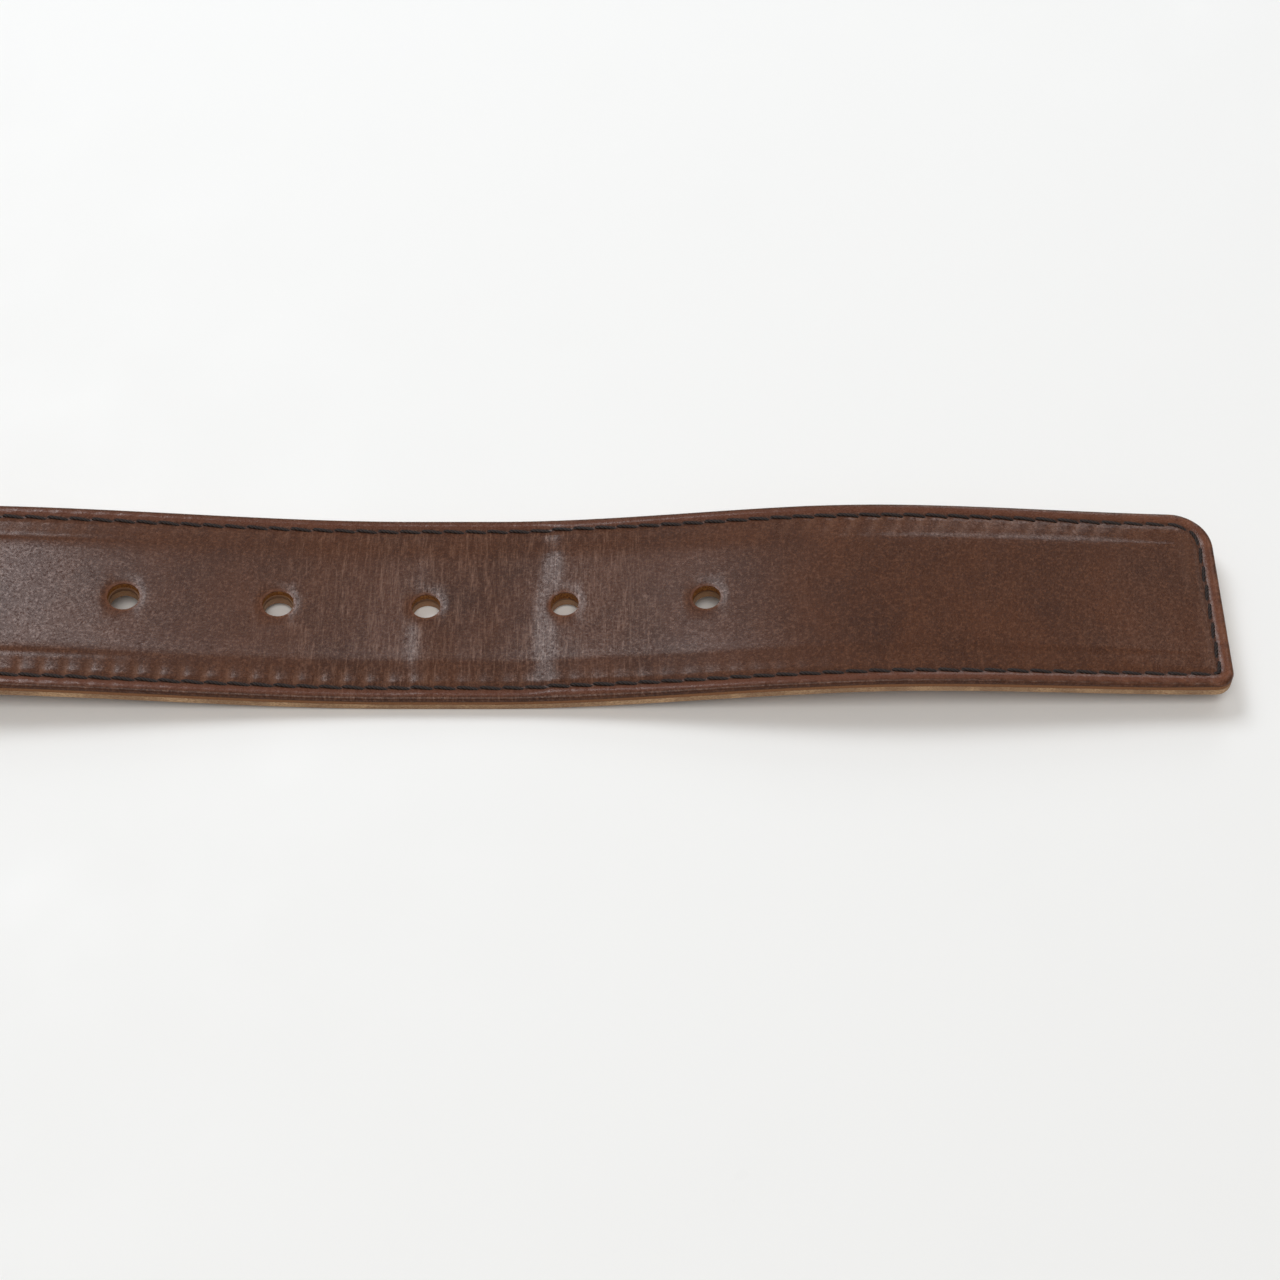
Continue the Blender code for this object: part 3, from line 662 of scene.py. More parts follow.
@dataclass
class FaceRelief:
    """The relief of the face leather: its edges, sewn line, stitch dents, creases and hole rims."""

    sizes: StrapSizes
    openings: Sequence[Opening]
    edge_radius: float = 0.55 * MM
    sewn_depth: float = 0.30 * MM
    sewn_width: float = 0.60 * MM
    border_bulge: float = 0.10 * MM
    pressed_line: float = 0.12 * MM
    rim_dip: float = 0.16 * MM
    rim_reach: float = 1.0 * MM
    used_crease: float = 0.36 * MM
    faint_crease: float = 0.13 * MM
    dent: float = 0.26 * MM

    def rounded_edge(self, inset: Points) -> Points:
        """How far the burnished edge drops."""
        left = np.clip(self.edge_radius - inset, 0, self.edge_radius)
        return self.edge_radius - np.sqrt(self.edge_radius**2 - left**2)

    def dents(self, a: Points, y: Points, inset: Points) -> Points:
        """How deep the crosswise dents are that the drawn stitches leave beside the sewn line.

        Args:
            a: Lengths from the tip.
            y: Places across the strap.
            inset: How far the places lie inside the outline.

        Returns:
            The depth at each flat place.
        """
        sizes = self.sizes
        slant = np.where(y > 0, 0.45, 0.1) * (inset - sizes.stitch_inset)
        phase = ((a - slant) / sizes.stitch_pitch + 0.5) % 1 - 0.5
        tick = np.exp(-((phase * sizes.stitch_pitch / (0.55 * MM)) ** 2))
        near = ((60 * MM, 0.18), (125 * MM, 0.3), (150 * MM, 0.9), (225 * MM, 1.0), (300 * MM, 0.35))
        far = ((8 * MM, 0.3), (25 * MM, 0.95), (62 * MM, 0.9), (84 * MM, 0.15), (200 * MM, 0.3))
        strength = self.dent * np.where(y < 0, eased(a, near), eased(a, far))
        fade = np.where(y > 0, 5.5 * MM, 3.4 * MM)
        reach = smooth((inset - 2.2 * MM) / (0.5 * MM)) * (1 - smooth((inset - 3.4 * MM) / fade))
        beads = smooth(inset / (0.6 * MM)) * (1 - smooth((inset - 1.5 * MM) / (0.7 * MM)))
        outer = eased(a, ((0, 1.0), (45 * MM, 0.8), (90 * MM, 0.15), (165 * MM, 0.2), (205 * MM, 0.8)))
        return tick * (strength * reach + 0.6 * self.dent * outer * beads)

    def creases(self, a: Points, y: Points) -> Points:
        """The ridges where the strap has been bent at the buckle, steep on the side away from the tip.

        Args:
            a: Lengths from the tip.
            y: Places across the strap.

        Returns:
            The height at each flat place.
        """
        first_holes = self.sizes.hole_places
        used, third = first_holes[1] + 5.0 * MM, first_holes[2] + 2.9 * MM
        sway = 0.5 * MM * np.sin(y / (7 * MM)) - 0.3 * MM * np.cos(y / (3.1 * MM))
        at = a + sway
        ridge = self.used_crease * smooth((used - at) / (4.2 * MM))
        ridge = ridge * (1 - smooth((used - 4 * MM - at) / (24 * MM)))
        low_half = 0.25 + 0.75 * smooth((2 * MM - y) / (8 * MM))
        faint = smooth((third - at) / (2.4 * MM)) * (1 - smooth((third - 2.4 * MM - at) / (7 * MM)))
        return ridge + self.faint_crease * faint * low_half

    def undulation(self, a: Points, y: Points) -> Points:
        """Slow unevenness of worn leather.

        Args:
            a: Lengths from the tip.
            y: Places across the strap.

        Returns:
            The height at each flat place.
        """
        waves = ((17, 0.4, 0.3), (29, -0.9, 1.9), (41, 0.5, 4.0), (11.3, 1.7, 2.2))
        total = sum(np.sin(a / (length * MM) + turn * y / (9 * MM) + start) for length, turn, start in waves)
        return 0.022 * MM * total

    def height(self, a: Points, y: Points) -> Points:
        """How far the face stands over its plain level.

        Args:
            a: Lengths from the tip.
            y: Places across the strap.

        Returns:
            The height at each flat place.
        """
        sizes = self.sizes
        inset = np.maximum(sizes.inset(a, y), 0)
        sewn = a < sizes.bar_a - sizes.stitch_end_margin
        lift = -self.rounded_edge(inset)
        line = self.sewn_depth * hill(inset, sizes.stitch_inset, self.sewn_width)
        bulge = self.border_bulge * hill(inset, 1.35 * MM, 0.7 * MM)
        lift += np.where(sewn, bulge - line - self.dents(a, y, inset), 0)
        padded = (a > sizes.filler_tip_margin / 2) & (a < sizes.padded_end)
        beside_filler = sizes.filler_width / 2 + sizes.gap + 0.15 * MM
        pressed = eased(a, ((0, 1.0), (40 * MM, 0.7), (75 * MM, 0.1), (175 * MM, 0.1), (205 * MM, 1.0)))
        lift -= np.where(padded, self.pressed_line * pressed * hill(np.abs(y), beside_filler, 0.4 * MM), 0)
        lift += self.creases(a, y) * smooth(inset / (3 * MM))
        lift += self.undulation(a, y) * smooth(inset / (2 * MM))
        for opening in self.openings:
            out = np.clip(opening.edge_distance(a, y) / self.rim_reach, 0, 1)
            lift -= self.rim_dip * (1 - out) ** 2
        return lift


@dataclass
class OuterLeather:
    """The face leather, which folds around the bar and ends in the flap behind."""

    sizes: StrapSizes
    route: LaidStrap
    bond: float = 0.02 * MM
    worn_holes: tuple[float, ...] = (4.9 * MM, 4.9 * MM, 5.0 * MM, 5.4 * MM, 5.5 * MM)
    thread_depth: float = 0.30 * MM
    thread_lift: float = 0.16 * MM

    def __post_init__(self) -> None:
        """Places the openings."""
        sizes = self.sizes
        self.openings = [
            Opening(place, diameter / 2) for place, diameter in zip(sizes.hole_places, self.worn_holes)
        ]
        barrel = sizes.post_diameter / 2 + sizes.gap
        for from_bar in (sizes.screw_from_bar, sizes.second_screw_from_bar):
            self.openings.append(Opening(sizes.bar_a - from_bar, barrel))
            self.openings.append(Opening(sizes.flap_a + from_bar, barrel))
        end = sizes.slot_width / 2
        self.openings.append(Opening((sizes.bar_a + sizes.flap_a) / 2, end, sizes.slot_length / 2 - end))
        self.relief = FaceRelief(sizes, self.openings[:5])

    def thread_seat(self, a: Points, y: Points) -> Points:
        """The height of the face thread's middle, pressed in a little deeper at the tip.

        Args:
            a: Lengths from the tip.
            y: Places across the strap.

        Returns:
            The height at each flat place.
        """
        sunk = 0.10 * MM * (1 - smooth((a - 14 * MM) / (20 * MM)))
        level = -sunk + self.sizes.face + self.relief.undulation(a, y) + self.relief.creases(a, y)
        return level - self.thread_depth + self.thread_lift

    def columns(self) -> list[float]:
        """Lengths at which the leather has a line: five a stitch on the tail, and fewer on the loop.

        Returns:
            The lengths, in order.
        """
        sizes = self.sizes
        tip = [place * MM for place in TIP_LINES]
        twist_start, twist_end = self.route.TWIST
        straight = sizes.bar_a - sizes.straight_end
        end = sizes.flap_a + sizes.flap_length
        places = tip + evenly(AFTER_TIP, twist_start, sizes.stitch_pitch / 5)
        places += evenly(twist_start, twist_end, 1.9 * MM) + evenly(twist_end, straight, 2.6 * MM)
        places += evenly(straight, sizes.bar_a, 1.3 * MM) + evenly(sizes.bar_a, sizes.flap_a, 0.7 * MM)
        places += evenly(sizes.flap_a, end - END_LINES[0] * MM, 1.6 * MM)
        return places + [end - inset * MM for inset in END_LINES]

    def build(self, finish: bpy.types.Material) -> bpy.types.Object:
        """Cuts, presses and lays the leather.

        Args:
            finish: The waxed leather.

        Returns:
            The finished piece.
        """
        sizes = self.sizes
        cut = FlatCut(sizes, self.columns(), self.openings)
        piece = finished(cut.sheet(), "face_leather", finish, crease=50)
        a, y, layer = read_points(piece.data).T
        inset = np.maximum(sizes.inset(a, y), 0)
        end_inset = sizes.flap_a + sizes.flap_length - a
        top = sizes.face + self.relief.height(a, y) - self.relief.rounded_edge(np.maximum(end_inset, 0))
        n = self.bond + (top - self.bond) * layer
        write_points(piece.data, self.route.lay_outer(a, y, n))
        piece.data.flip_normals()
        opening = np.min([hole.edge_distance(a, y) for hole in self.openings], 0)
        sewn = a < sizes.bar_a - sizes.stitch_end_margin
        # The stitch dents' pattern; the leather's material paints the dents lighter with it, a painted
        # highlight.
        drawn = np.where(sewn, self.relief.dents(a, y, inset) / self.relief.dent, 0)
        add_values(piece.data, "drawn", drawn)
        add_values(piece.data, "flat", np.stack([a, y, n], 1) / MM)
        add_values(piece.data, "inset", np.minimum(inset, end_inset) / MM)
        add_values(piece.data, "rim", np.clip(opening, 0, 9 * MM) / MM)
        add_values(piece.data, "depth", 1 - layer)
        return piece


@dataclass
class Lining:
    """The undyed lining, whose raw edge shows under the face leather."""

    sizes: StrapSizes
    route: LaidStrap
    bond: float = 0.02 * MM
    edge_radius: float = 0.35 * MM
    sewn_depth: float = 0.22 * MM
    thread_depth: float = 0.10 * MM

    def thread_seat(self, a: Points, _y: Points) -> Points:
        """The height of the back thread's middle."""
        return np.full_like(a, self.sizes.back + self.thread_depth)

    def build(self, finish: bpy.types.Material) -> bpy.types.Object:
        """Cuts and lays the lining.

        Args:
            finish: The undyed leather.

        Returns:
            The finished piece.
        """
        sizes = self.sizes
        openings = [Opening(place, sizes.hole_diameter / 2) for place in sizes.hole_places]
        for from_bar in (sizes.screw_from_bar, sizes.second_screw_from_bar):
            openings.append(Opening(sizes.bar_a - from_bar, sizes.post_diameter / 2 + sizes.gap))
        end = sizes.bar_a - sizes.lining_end_margin
        tip = [place * MM for place in TIP_LINES]
        twist_start, twist_end = self.route.TWIST
        columns = tip + evenly(AFTER_TIP, twist_start, sizes.stitch_pitch / 4)
        columns += evenly(twist_start, twist_end, 1.9 * MM)
        columns += evenly(twist_end, end - END_LINES[0] * MM, 2.0 * MM)
        columns += [end - inset * MM for inset in END_LINES]
        piece = finished(FlatCut(sizes, columns, openings).sheet(), "lining", finish, crease=50)
        a, y, layer = read_points(piece.data).T
        inset = np.maximum(sizes.inset(a, y), 0)
        left = np.clip(self.edge_radius - inset, 0, self.edge_radius)
        drop = self.edge_radius - np.sqrt(self.edge_radius**2 - left**2)
        drop += self.sewn_depth * hill(inset, sizes.stitch_inset, 0.6 * MM)
        opening = np.min([hole.edge_distance(a, y) for hole in openings], 0)
        drop += 0.2 * MM * (1 - np.clip(opening / (1.2 * MM), 0, 1)) ** 2
        n = -self.bond + (sizes.back + drop + self.bond) * layer
        write_points(piece.data, self.route.at(a, y, n))
        add_values(piece.data, "flat", np.stack([a, y, n], 1) / MM)
        add_values(piece.data, "inset", np.minimum(inset, end - a) / MM)
        add_values(piece.data, "rim", np.clip(opening, 0, 9 * MM) / MM)
        add_values(piece.data, "depth", 1 - layer)
        return piece


@dataclass
class Stitches:
    """One thread of the lockstitch: short arched strands whose ends dip into the stitch holes."""

    sizes: StrapSizes
    strand_width: float = 0.68 * MM
    strand_height: float = 0.42 * MM
    overlap: float = 1.12
    slant: float = 0.30 * MM
    dip: float = 0.42 * MM
    sides: int = 8
    rings: int = 6

    def line(self, start: float) -> Points:
        """Flat places along the sewn line from one side, around the tip, to the other side.

        Args:
            start: The length at which both sides begin.

        Returns:
            Rows of A and Y, close together.
        """
        sizes = self.sizes
        inset, rows = sizes.stitch_inset, []
        at_start = float(sizes.half_width_at(np.array(start))) - inset
        for side, radius in ((-1, sizes.tip_radius_near), (1, sizes.tip_radius_far)):
            half = float(sizes.half_width_at(np.array(radius)))
            turn = np.linspace(0, math.pi / 2, 25)
            bend = radius - inset
            a = radius - bend * np.sin(turn)
            y = side * (half - radius + bend * np.cos(turn))
            run = np.array([[start, side * at_start]])
            corner = np.concatenate([run, np.stack([a, y], 1)])
            rows.append(corner if side < 0 else corner[::-1])
        return np.concatenate(rows)

    def strand(self) -> bpy.types.Mesh:
        """One strand along X, from end to end 1 long, with its width and height 1.

        Returns:
            The strand's mesh.
        """
        shape = bmesh.new()
        bmesh.ops.create_cone(shape, cap_ends=True, segments=self.sides, radius1=0.5, radius2=0.5, depth=1)
        length = [edge for edge in shape.edges if abs(edge.verts[0].co.z - edge.verts[1].co.z) > 0.5]
        bmesh.ops.subdivide_edges(shape, edges=length, cuts=self.rings - 1, use_grid_fill=True)
        quarter_turn(shape, "Y")
        bmesh.ops.recalc_face_normals(shape, faces=shape.faces)
        mesh = bpy.data.meshes.new("strand")
        shape.to_mesh(mesh)
        shape.free()
        return mesh

    def placed(self, strand: Points) -> tuple[Points, Points, Points, Points]:
        """Sets every strand along the sewn line.

        Args:
            strand: The strand's points.

        Returns:
            A, Y and the height over the seat for every point, and its place along the thread.
        """
        sizes = self.sizes
        pitch = sizes.stitch_pitch
        first, last = 2 * pitch, math.floor((sizes.bar_a - sizes.stitch_end_margin) / pitch) * pitch
        corners = self.line(first)
        along = np.concatenate([[0], np.cumsum(np.hypot(*np.diff(corners, axis=0).T))])
        around = max(1, round(along[-1] / pitch))
        runs = [np.array([[last, 0], [first, 0]]), corners, np.array([[first, 0], [last, 0]])]
        run_out = []
        for index, run in enumerate(runs):
            if index != 1:
                side = -1 if index == 0 else 1
                a = np.linspace(run[0, 0], run[1, 0], 400)
                run = np.stack([a, side * (sizes.half_width_at(a) - sizes.stitch_inset)], 1)
            length = np.concatenate([[0], np.cumsum(np.hypot(*np.diff(run, axis=0).T))])
            count = around if index == 1 else round(length[-1] / pitch)
            run_out.append((run, length, count))
        a_all, y_all, up_all, thread_all = [], [], [], []
        done = 0.0
        for run, length, count in run_out:
            span = length[-1] / count
            middles = (np.arange(count) + 0.5) * span
            at = middles[:, None] + strand[None, :, 0] * span * self.overlap
            at = np.clip(at, 0, length[-1])
            a, y = (np.interp(at, length, run[:, axis]) for axis in (0, 1))
            step = unit(np.stack([np.gradient(run[:, 0]), np.gradient(run[:, 1])], 1))
            left = np.stack([-step[:, 1], step[:, 0]], 1)
            left_a, left_y = (np.interp(at, length, left[:, axis]) for axis in (0, 1))
            share = np.abs(strand[None, :, 0]) * 2
            thin = np.sqrt(np.clip(1 - 0.55 * share**4, 0.05, 1))
            sway = strand[None, :, 0] * 2 * self.slant
            out = strand[None, :, 1] * self.strand_width * thin + sway
            up = strand[None, :, 2] * self.strand_height * thin - self.dip * share**4
            up = np.broadcast_to(up, at.shape)
            a_all.append((a + out * left_a).ravel())
            y_all.append((y + out * left_y).ravel())
            up_all.append(up.ravel())
            thread_all.append((done + at).ravel())
            done += length[-1]
        return tuple(np.concatenate(values) for values in (a_all, y_all, up_all, thread_all))

    def build(
        self,
        name: str,
        finish: bpy.types.Material,
        lay: Callable[[Points, Points, Points], Points],
        seat: Callable[[Points, Points], Points],
        outwards: int,
    ) -> bpy.types.Object:
        """Sews one thread.

        Args:
            name: The piece's name.
            finish: The thread's material.
            lay: Takes flat places to laid places.
            seat: The height of the thread's middle at flat places.
            outwards: 1 where the thread shows on the face, -1 on the back.

        Returns:
            The finished piece.
        """
        strand = self.strand()
        points = read_points(strand)
        a, y, up, along = self.placed(points)
        shape = bmesh.new()
        for _ in range(len(a) // len(points)):
            shape.from_mesh(strand)
        bpy.data.meshes.remove(strand)
        piece = finished(shape, name, finish, crease=70)
        write_points(piece.data, lay(a, y, seat(a, y) + outwards * up))
        if outwards > 0:
            piece.data.flip_normals()
        turn = np.tile(np.arctan2(points[:, 2], points[:, 1]), len(a) // len(points))
        round_it = self.strand_width / 2 / MM
        lay_places = np.stack([along / MM, np.cos(turn) * round_it, np.sin(turn) * round_it], 1)
        add_values(piece.data, "lay", lay_places)
        return piece


def turned(profile: Sequence[tuple[float, float]], steps: int = 64) -> bmesh.types.BMesh:
    """A solid turned about Z.

    Args:
        profile: Points of radius and height, from the axis back to the axis.
        steps: Facets around the axis.

    Returns:
        The closed solid.
    """
    shape = bmesh.new()
    verts = [shape.verts.new((radius, 0, height)) for radius, height in profile]
    edges = [shape.edges.new(pair) for pair in zip(verts, verts[1:])]
    bmesh.ops.spin(
        shape,
        geom=verts + edges,
        axis=(0, 0, 1),
        cent=(0, 0, 0),
        steps=steps,
        angle=2 * math.pi,
        use_merge=True,
    )
    bmesh.ops.remove_doubles(shape, verts=shape.verts, dist=NEAR)
    bmesh.ops.recalc_face_normals(shape, faces=shape.faces)
    return shape


def round_edges(shape: bmesh.types.BMesh, radius: float, segments: int = 3, least: float = 30.0) -> None:
    """Rounds the edges of a shape that turn by more than an angle.

    Args:
        shape: The shape to change.
        radius: The rounding's radius.
        segments: Faces across each rounding.
        least: Degrees from which an edge counts as sharp.
    """
    limit = math.radians(least)
    sharp = [edge for edge in shape.edges if edge.is_manifold and edge.calc_face_angle() > limit]
    bmesh.ops.bevel(
        shape,
        geom=sharp,
        affect="EDGES",
        offset=radius,
        offset_type="OFFSET",
        segments=segments,
        profile=0.5,
        material=-1,
        clamp_overlap=True,
    )


def arc(
    centre: tuple[float, float], radius: float, start: float, end: float, steps: int
) -> list[tuple[float, float]]:
    """Points of an arc, with its angles in degrees.

    Args:
        centre: The arc's centre.
        radius: Its radius.
        start: Its first angle.
        end: Its last angle.
        steps: Straight pieces along it.

    Returns:
        The points, ends included.
    """
    turns = [math.radians(start + (end - start) * step / steps) for step in range(steps + 1)]
    return [(centre[0] + radius * math.cos(turn), centre[1] + radius * math.sin(turn)) for turn in turns]


@dataclass
class Buckle:
    """The polished buckle: a frame open at the heel, its bar, and the prong that curls around the bar."""

    sizes: StrapSizes
    end: Matrix
    side_gap: float = 1.5 * MM
    rail: float = 5.5 * MM
    thickness: float = 4 * MM
    reach: float = 40 * MM
    heel: float = 3.6 * MM
    corner: float = 9 * MM
    rise: float = 3.5 * MM
    seat_depth: float = 3.6 * MM
    prong_width: float = 5.2 * MM
    prong_thickness: float = 2.2 * MM
    prong_wall: float = 1.5 * MM
    prong_overhang: float = 1.5 * MM
    prong_tip_width: float = 3.2 * MM
    section_points: int = 20

    def place(self, shape: bmesh.types.BMesh) -> bmesh.types.BMesh:
        """Moves a shape from the buckle end's axes to its place.

        Args:
            shape: The shape to move.

        Returns:
            The same shape.
        """
        bmesh.ops.transform(shape, matrix=self.end, verts=shape.verts)
        bmesh.ops.recalc_face_normals(shape, faces=shape.faces)
        return shape

    def centreline(self) -> list[tuple[float, float]]:
        """The middle of the rails in U and Y, from one heel around the front to the other.

        Returns:
            The line's points.
        """
        side = self.sizes.half_width + self.side_gap + self.rail / 2
        front, bend = self.reach - self.rail / 2, self.corner - self.rail / 2
        heel = -self.heel
        points = [(heel + (front - bend - heel) * step / 16, -side) for step in range(16)]
        points += arc((front - bend, -side + bend), bend, -90, 0, 10)
        points += [(front, (-side + bend) + 2 * (side - bend) * step / 16) for step in range(1, 16)]
        points += arc((front - bend, side - bend), bend, 0, 90, 10)
        points += [(front - bend + (heel - front + bend) * step / 16, side) for step in range(1, 17)]
        return points

    def section(self) -> list[tuple[float, float]]:
        """The rail's section: flat below and softly domed above, as places out of the middle and up.

        Returns:
            The section's points.
        """
        points = []
        for step in range(self.section_points):
            turn = 2 * math.pi * (step + 0.5) / self.section_points
            side, up = math.cos(turn), math.sin(turn)
            power = 0.55 if up > 0 else 0.35
            points.append(
                (
                    math.copysign(abs(side) ** power, side) * self.rail / 2,
                    math.copysign(abs(up) ** (0.8 if up > 0 else 0.4), up) * self.thickness / 2,
                )
            )
        return points

    def frame(self, finish: bpy.types.Material) -> bpy.types.Object:
        """Draws the rail's section along its middle, with a shallow dish in each heel.

        Args:
            finish: The metal.

        Returns:
            The finished piece.
        """
        line = self.centreline()
        shape = bmesh.new()
        rings = []
        for index, (u, y) in enumerate(line):
            before, after = line[max(index - 1, 0)], line[min(index + 1, len(line) - 1)]
            length = math.hypot(after[0] - before[0], after[1] - before[1])
            out_u, out_y = (after[1] - before[1]) / length, -(after[0] - before[0]) / length
            lift = self.rise * float(smooth(u / (self.reach - self.rail)))
            places = [(u + out * out_u, y + out * out_y, up + lift) for out, up in self.section()]
            rings.append([shape.verts.new(place) for place in places])
        loops = [[shape.edges.new((ring[i - 1], ring[i])) for i in range(len(ring))] for ring in rings]
        for first, second in zip(loops, loops[1:]):
            bmesh.ops.bridge_loops(shape, edges=first + second)
        for ring in (rings[0], rings[-1]):
            shape.faces.new(ring)
        bmesh.ops.recalc_face_normals(shape, faces=shape.faces)
        for ring in (rings[0], rings[-1]):
            cap = [face for face in shape.faces if set(face.verts) == set(ring)]
            bmesh.ops.inset_region(shape, faces=cap, thickness=0.35 * MM, depth=0.25 * MM)
        return finished(self.place(shape), "buckle_rails", finish, crease=50)

    def bar(self, finish: bpy.types.Material) -> bpy.types.Object:
        """Turns the bar, with softened ends.

        Args:
            finish: The metal.

        Returns:
            The finished piece.
        """
        radius = self.sizes.bar_diameter / 2
        half = self.sizes.half_width + self.side_gap + self.seat_depth - self.sizes.gap
        edge = 0.3 * MM
        profile = [(0, -half), (radius - edge, -half), (radius, -half + edge)]
        profile += [(radius, half * (step / 8 - 1) * 0.98) for step in range(1, 16)]
        profile += [(radius, half - edge), (radius - edge, half), (0, half)]
        shape = turned(profile, 40)
        quarter_turn(shape, "X")
        return finished(self.place(shape), "hinge_bar", finish, crease=30)

    def prong(self, finish: bpy.types.Material) -> bpy.types.Object:
        """Bends the prong: a curl around the bar, and a shank that narrows to its blunt tip.

        Args:
            finish: The metal.

        Returns:
            The finished piece.
        """
        inside = self.sizes.bar_diameter / 2 + self.sizes.gap
        outside = inside + self.prong_wall
        rest = self.rise + self.thickness / 2 + self.sizes.gap
        front, reach = self.reach - self.rail, self.reach + self.prong_overhang
        outer = arc((0, 0), outside, 75, 352, 40)
        under = [(front - 4 * MM, rest), (reach - 2 * MM, rest), (reach, rest - 1.2 * MM)]
        over = [(reach + 0.6 * MM, rest + 0.2 * MM), (reach - 2 * MM, rest + self.prong_thickness * 0.8)]
        over += [(front - 4 * MM, rest + self.prong_thickness)]
        outline = outer + under + over
        half = self.prong_width / 2
        shape = bmesh.new()
        low_outer = [shape.verts.new((x, y, -half)) for x, y in outline]
        low_inner = [shape.verts.new((x, y, -half)) for x, y in arc((0, 0), inside, 0, 360 - 9, 39)]
        rings = (low_outer, low_inner)
        loops = [shape.edges.new((ring[i - 1], ring[i])) for ring in rings for i in range(len(ring))]
        bmesh.ops.triangle_fill(shape, use_beauty=True, edges=loops)
        made = bmesh.ops.extrude_face_region(shape, geom=shape.faces[:])["geom"]
        upper = [item for item in made if isinstance(item, bmesh.types.BMVert)]
        bmesh.ops.translate(shape, verts=upper, vec=(0, 0, 2 * half))
        bmesh.ops.recalc_face_normals(shape, faces=shape.faces)
        bmesh.ops.dissolve_limit(
            shape, angle_limit=math.radians(0.5), verts=shape.verts, edges=shape.edges, delimit={"NORMAL"}
        )
        round_edges(shape, 0.32 * MM, 3, 60)
        for vert in shape.verts:
            share = float(smooth((vert.co.x - front / 2) / (reach - front / 2)))
            vert.co.z *= 1 + share * (self.prong_tip_width / self.prong_width - 1)
        quarter_turn(shape, "X")
        return finished(self.place(shape), "prong_tongue", finish, crease=35)


@dataclass
class Screws:
    """The two screws and their posts, which clamp the flap."""

    sizes: StrapSizes
    end: Matrix
    head_height: float = 1.5 * MM
    rim: float = 0.6 * MM
    screw_diameter: float = 3 * MM
    screw_room: float = 0.5 * MM
    slot_width: float = 1.0 * MM
    slot_depth: float = 0.7 * MM

    def head(self, base: float, outwards: int) -> list[tuple[float, float]]:
        """A low domed head from its rim to its middle, with a softened rim.

        Args:
            base: The height of its flat side.
            outwards: 1 where it points up, -1 down.

        Returns:
            Points of radius and height.
        """
        radius, soft = self.sizes.screw_head_diameter / 2, 0.18 * MM
        dome = self.head_height - self.rim
        points = [(radius - soft, base), (radius, base + outwards * soft)]
        points.append((radius, base + outwards * (self.rim - soft)))
        for step in range(1, 15):
            turn = math.pi / 2 * step / 14
            height = self.rim + dome * math.sin(turn)
            points.append((radius * math.cos(turn) ** 0.85, base + outwards * height))
        points[-1] = (0, points[-1][1])
        return points

    def post(self, face: float, flap_face: float) -> bmesh.types.BMesh:
        """The post: a sleeve through the leathers under a domed head.

        Args:
            face: The height of the leather's face.
            flap_face: The height of the flap's outer side.

        Returns:
            The closed solid.
        """
        sizes = self.sizes
        bore, barrel = self.screw_diameter / 2 + sizes.gap, sizes.post_diameter / 2
        bottom, top = face - sizes.gap, face + sizes.gap
        sleeve = [(0, bottom), (bore, bottom), (bore, flap_face), (barrel, flap_face), (barrel, top)]
        return turned(sleeve + self.head(face + sizes.gap, 1))

    def screw(self, face: float, flap_face: float) -> bmesh.types.BMesh:
        """The screw, with a slot across its head.

        Args:
            face: The height of the leather's face.
            flap_face: The height of the flap's outer side.

        Returns:
            The closed solid.
        """
        sizes = self.sizes
        shank = self.screw_diameter / 2
        tip, base = face - sizes.gap - self.screw_room, flap_face - sizes.gap
        shape = turned([(0, tip), (shank, tip), (shank, base), *self.head(base, -1)])
        floor = base - self.head_height + self.slot_depth
        for side in (-1, 1):
            whole = shape.verts[:] + shape.edges[:] + shape.faces[:]
            at = (0, side * self.slot_width / 2, 0)
            bmesh.ops.bisect_plane(shape, geom=whole, plane_co=at, plane_no=(0, 1, 0), dist=CUT_MERGE)
        half_slot, rim_end = self.slot_width / 2 + ON_CUT, base - 0.3 * MM
        inner_faces = [
            face
            for face in shape.faces
            if all(abs(vert.co.y) <= half_slot and vert.co.z < rim_end for vert in face.verts)
        ]
        made = bmesh.ops.extrude_face_region(shape, geom=inner_faces)["geom"]
        bmesh.ops.delete(shape, geom=inner_faces, context="FACES")
        for item in made:
            if isinstance(item, bmesh.types.BMVert):
                item.co.z = floor
        bmesh.ops.recalc_face_normals(shape, faces=shape.faces)
        return shape

    def build(self, finish: bpy.types.Material) -> list[bpy.types.Object]:
        """Makes both pairs.

        Args:
            finish: The metal.

        Returns:
            Each pair's post and screw, the pair nearer the buckle first.
        """
        sizes = self.sizes
        face = sizes.face - sizes.bar_n
        flap_face = sizes.flap_top - sizes.outer_thickness - sizes.bar_n
        made = []
        for label, from_bar in (("front", sizes.screw_from_bar), ("rear", sizes.second_screw_from_bar)):
            pair = (("post", self.post(face, flap_face)), ("slotted_screw", self.screw(face, flap_face)))
            for name, shape in pair:
                bmesh.ops.translate(shape, verts=shape.verts, vec=(-from_bar, 0, 0))
                bmesh.ops.transform(shape, matrix=self.end, verts=shape.verts)
                made.append(finished(shape, f"{label}_{name}_turned", finish, crease=35))
        return made


